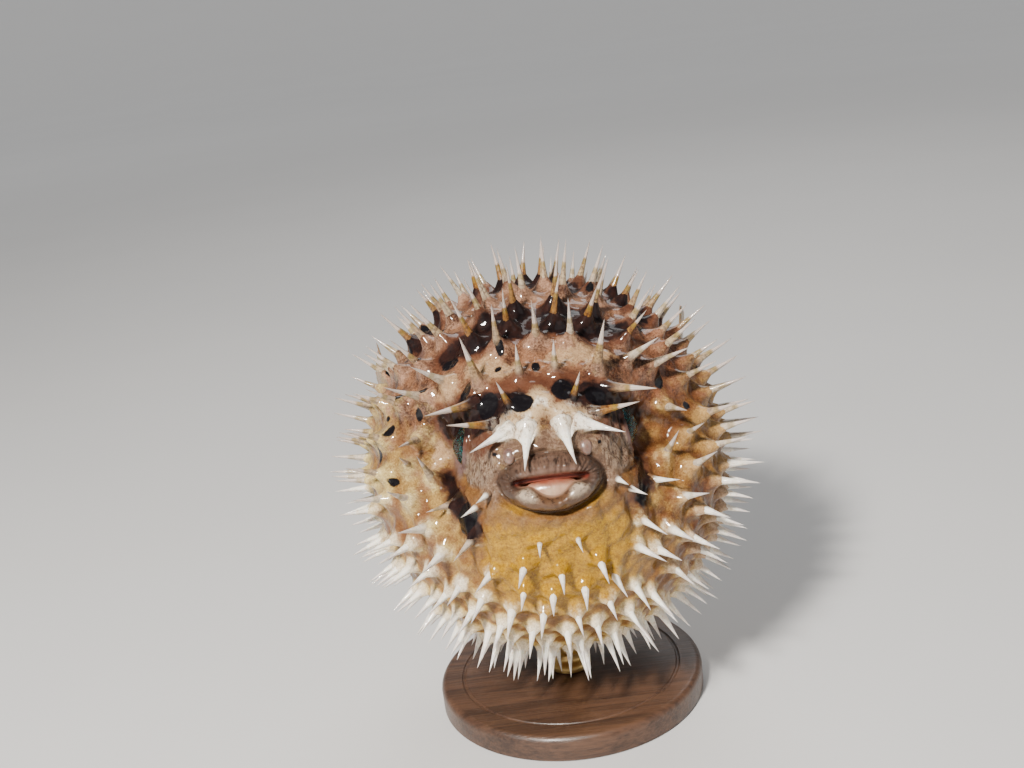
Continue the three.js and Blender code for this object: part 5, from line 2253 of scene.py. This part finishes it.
@dataclass
class Stand:
    """The display stand: a turned base, a collar and a rod."""

    base_radius: float = 31.0
    base_height: float = 6.0
    edge_rounding: float = 1.6
    rod_radius: float = 2.5
    collar_radius: float = 5.0
    collar_height: float = 4.0
    gap: float = 0.3
    rod_in_body: float = 5.0
    rod_bevel: float = 0.3
    foot_rounding: float = 0.4
    groove_inset: float = 5.5
    middle: float = 0.01
    sharp_edge: float = 35

    def base_profile(self) -> list[tuple[float, float]]:
        """Gives the base's outline from the middle of its underside round to the middle of its top.

        Returns:
            Radius and height of each point.
        """
        outer, top = self.base_radius, self.base_height
        rounding, foot, inner = self.edge_rounding, self.foot_rounding, outer - self.groove_inset
        arc, groove = [], []
        for a in np.linspace(0, math.pi / 2, 8):
            arc.append((outer - rounding * (1 - math.cos(a)), top - rounding * (1 - math.sin(a))))
        for a in np.linspace(0, math.pi, 7):
            groove.append((inner + 0.5 * math.cos(a), top - 0.35 * math.sin(a)))
        return [(self.middle, 0), (outer - foot, 0), (outer, foot), *arc, *groove, (self.middle, top)]

    def collar_profile(self) -> list[tuple[float, float]]:
        """Gives the collar's outline, a foot with a bead that curves in to a neck.

        Returns:
            Radius and height of each point.
        """
        inner, outer, tall = self.rod_radius + 0.05, self.collar_radius, self.collar_height
        curve = []
        for a in np.linspace(0, math.pi / 2, 9):
            curve.append((outer * (0.7 + 0.3 * math.cos(a) ** 2), tall * (0.25 + 0.45 * a / (math.pi / 2))))
        neck = [(outer * 0.7, tall - 0.2), (outer * 0.66, tall), (inner, tall)]
        return [(inner, 0), (outer - 0.2, 0), (outer, 0.2), *curve, *neck]

    def rod_profile(self) -> list[tuple[float, float]]:
        """Gives the rod's outline, from the base up into the body.

        Returns:
            Radius and height of each point.
        """
        top = BODY.centre_height - BODY.half_height + self.rod_in_body - self.base_height - self.gap
        r = self.rod_radius
        edge = [(r, top * 0.5), (r, top - self.rod_bevel), (r - self.rod_bevel, top)]
        return [(self.middle, 0), (r, 0), *edge, (self.middle, top)]

    def build(self, finishes: Finishes) -> None:
        """Makes the three turned pieces in place of their plain solids.

        Args:
            finishes: every material.
        """
        above = self.base_height + self.gap
        turned = (
            ("stand_base", self.base_profile(), 160, 0.0, finishes.wood, "stand_wood"),
            ("stand_collar", self.collar_profile(), 72, above, finishes.brass, "stand_brass"),
            ("stand_rod", self.rod_profile(), 56, above, finishes.brass, "stand_brass"),
        )
        for name, profile, steps, height, material, slot in turned:
            piece = lathe(profile, steps, height).build(f"{name}_turned", material)
            piece.data.set_sharp_from_angle(angle=math.radians(self.sharp_edge))
            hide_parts(name)
            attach(piece, "root")
            LOG.info("%s made", piece.name)


# ---- studio


@dataclass(frozen=True)
class Lamp:
    """A soft square light, in degrees, metres and watts."""

    name: str
    azimuth: float
    elevation: float
    distance: float
    size: float
    power: float
    tint: Color


@dataclass
class Studio:
    """The floor, the lights and the camera, in metres and degrees."""

    camera_elevation: float = 21.3
    camera_azimuth: float = -0.8
    camera_distance: float = 0.300
    camera_roll: float = 6.8
    field_of_view: float = 42.3
    aim_left: float = 0.0077
    aim_up: float = 0.0177
    nearest_seen: float = 0.01
    floor_radius: float = 3.0
    lamps: tuple[Lamp, ...] = (
        Lamp("key_light", -26, 40, 0.75, 0.08, 14.0, (1.0, 0.965, 0.91)),
        Lamp("fill_light", 62, 22, 0.85, 0.5, 0.6, (0.94, 0.97, 1.0)),
        Lamp("rear_light", 165, 50, 0.9, 0.5, 3.5, (1.0, 1.0, 1.0)),
    )
    air: Color = (0.90, 0.92, 0.95)
    air_strength: float = 0.17

    def floor(self, material: Material) -> None:
        """Makes a round floor that curves up far away, so that no horizon shows.

        Args:
            material: its finish.
        """
        flat, rise = self.floor_radius / MM * 0.7, self.floor_radius / MM * 0.3
        profile = [(0.01, 0), (300, 0), (900, 0)]
        for a in np.linspace(0, math.pi / 2.4, 24):
            profile.append((flat + rise * math.sin(a), rise * (1 - math.cos(a))))
        sweep = lathe(profile, 96, 0.0).build("studio_floor", material)

    def light(self, lamp: Lamp) -> None:
        """Adds a light that faces the fish.

        Args:
            lamp: its place, size, power and tint.
        """
        source = bpy.data.lights.new(lamp.name, "AREA")
        source.size, source.energy, source.color = lamp.size, lamp.power, lamp.tint
        rig = bpy.data.objects.new(lamp.name, source)
        out = Vector(towards(lamp.azimuth, lamp.elevation))
        rig.location = Vector((0, 0, BODY.centre_height * MM)) + out * lamp.distance
        rig.rotation_euler = out.to_track_quat("Z", "Y").to_euler()
        bpy.context.scene.collection.objects.link(rig)

    def lights(self) -> None:
        """Sets the lights and the pale surroundings."""
        for lamp in self.lamps:
            self.light(lamp)
        world = bpy.data.worlds.new("studio_air")
        world.use_nodes = True
        world.node_tree.nodes["Background"].inputs["Color"].default_value = (*self.air, 1)
        world.node_tree.nodes["Background"].inputs["Strength"].default_value = self.air_strength
        bpy.context.scene.world = world

    def camera(self) -> None:
        """Sets the camera a little above the snout and turned a little about its own line of sight."""
        lens = bpy.data.cameras.new("camera")
        lens.sensor_width = 36
        lens.lens = lens.sensor_width / 2 / math.tan(math.radians(self.field_of_view) / 2)
        lens.clip_start = self.nearest_seen
        centre = Vector((0, 0, BODY.centre_height * MM))
        out = Vector(towards(self.camera_azimuth, self.camera_elevation))
        level = out.to_track_quat("Z", "Y").to_matrix()
        turned = level @ Matrix.Rotation(math.radians(-self.camera_roll), 3, "Z")
        place = centre + out * self.camera_distance
        aim = centre - turned.col[0] * self.aim_left + turned.col[1] * self.aim_up
        back = (place - aim).normalized()
        right = turned.col[1].cross(back).normalized()
        axes = Matrix((right, back.cross(right), back)).transposed()
        rig = bpy.data.objects.new("camera", lens)
        rig.matrix_world = Matrix.Translation(place) @ axes.to_4x4()
        bpy.context.scene.collection.objects.link(rig)
        bpy.context.scene.camera = rig

    def build(self, finishes: Finishes) -> None:
        """Makes the floor, the lights and the camera.

        Args:
            finishes: every material.
        """
        self.floor(finishes.floor)
        self.lights()
        self.camera()


def main() -> None:
    """Builds the fish, its stand and the studio."""
    logging.basicConfig(level=logging.INFO, format="%(name)s: %(message)s")
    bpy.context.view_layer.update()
    finishes = Finishes()
    Fish(SpinePlan(), Markings()).build(finishes)
    Stand().build(finishes)
    Studio().build(finishes)


if __name__ == "__main__":
    main()
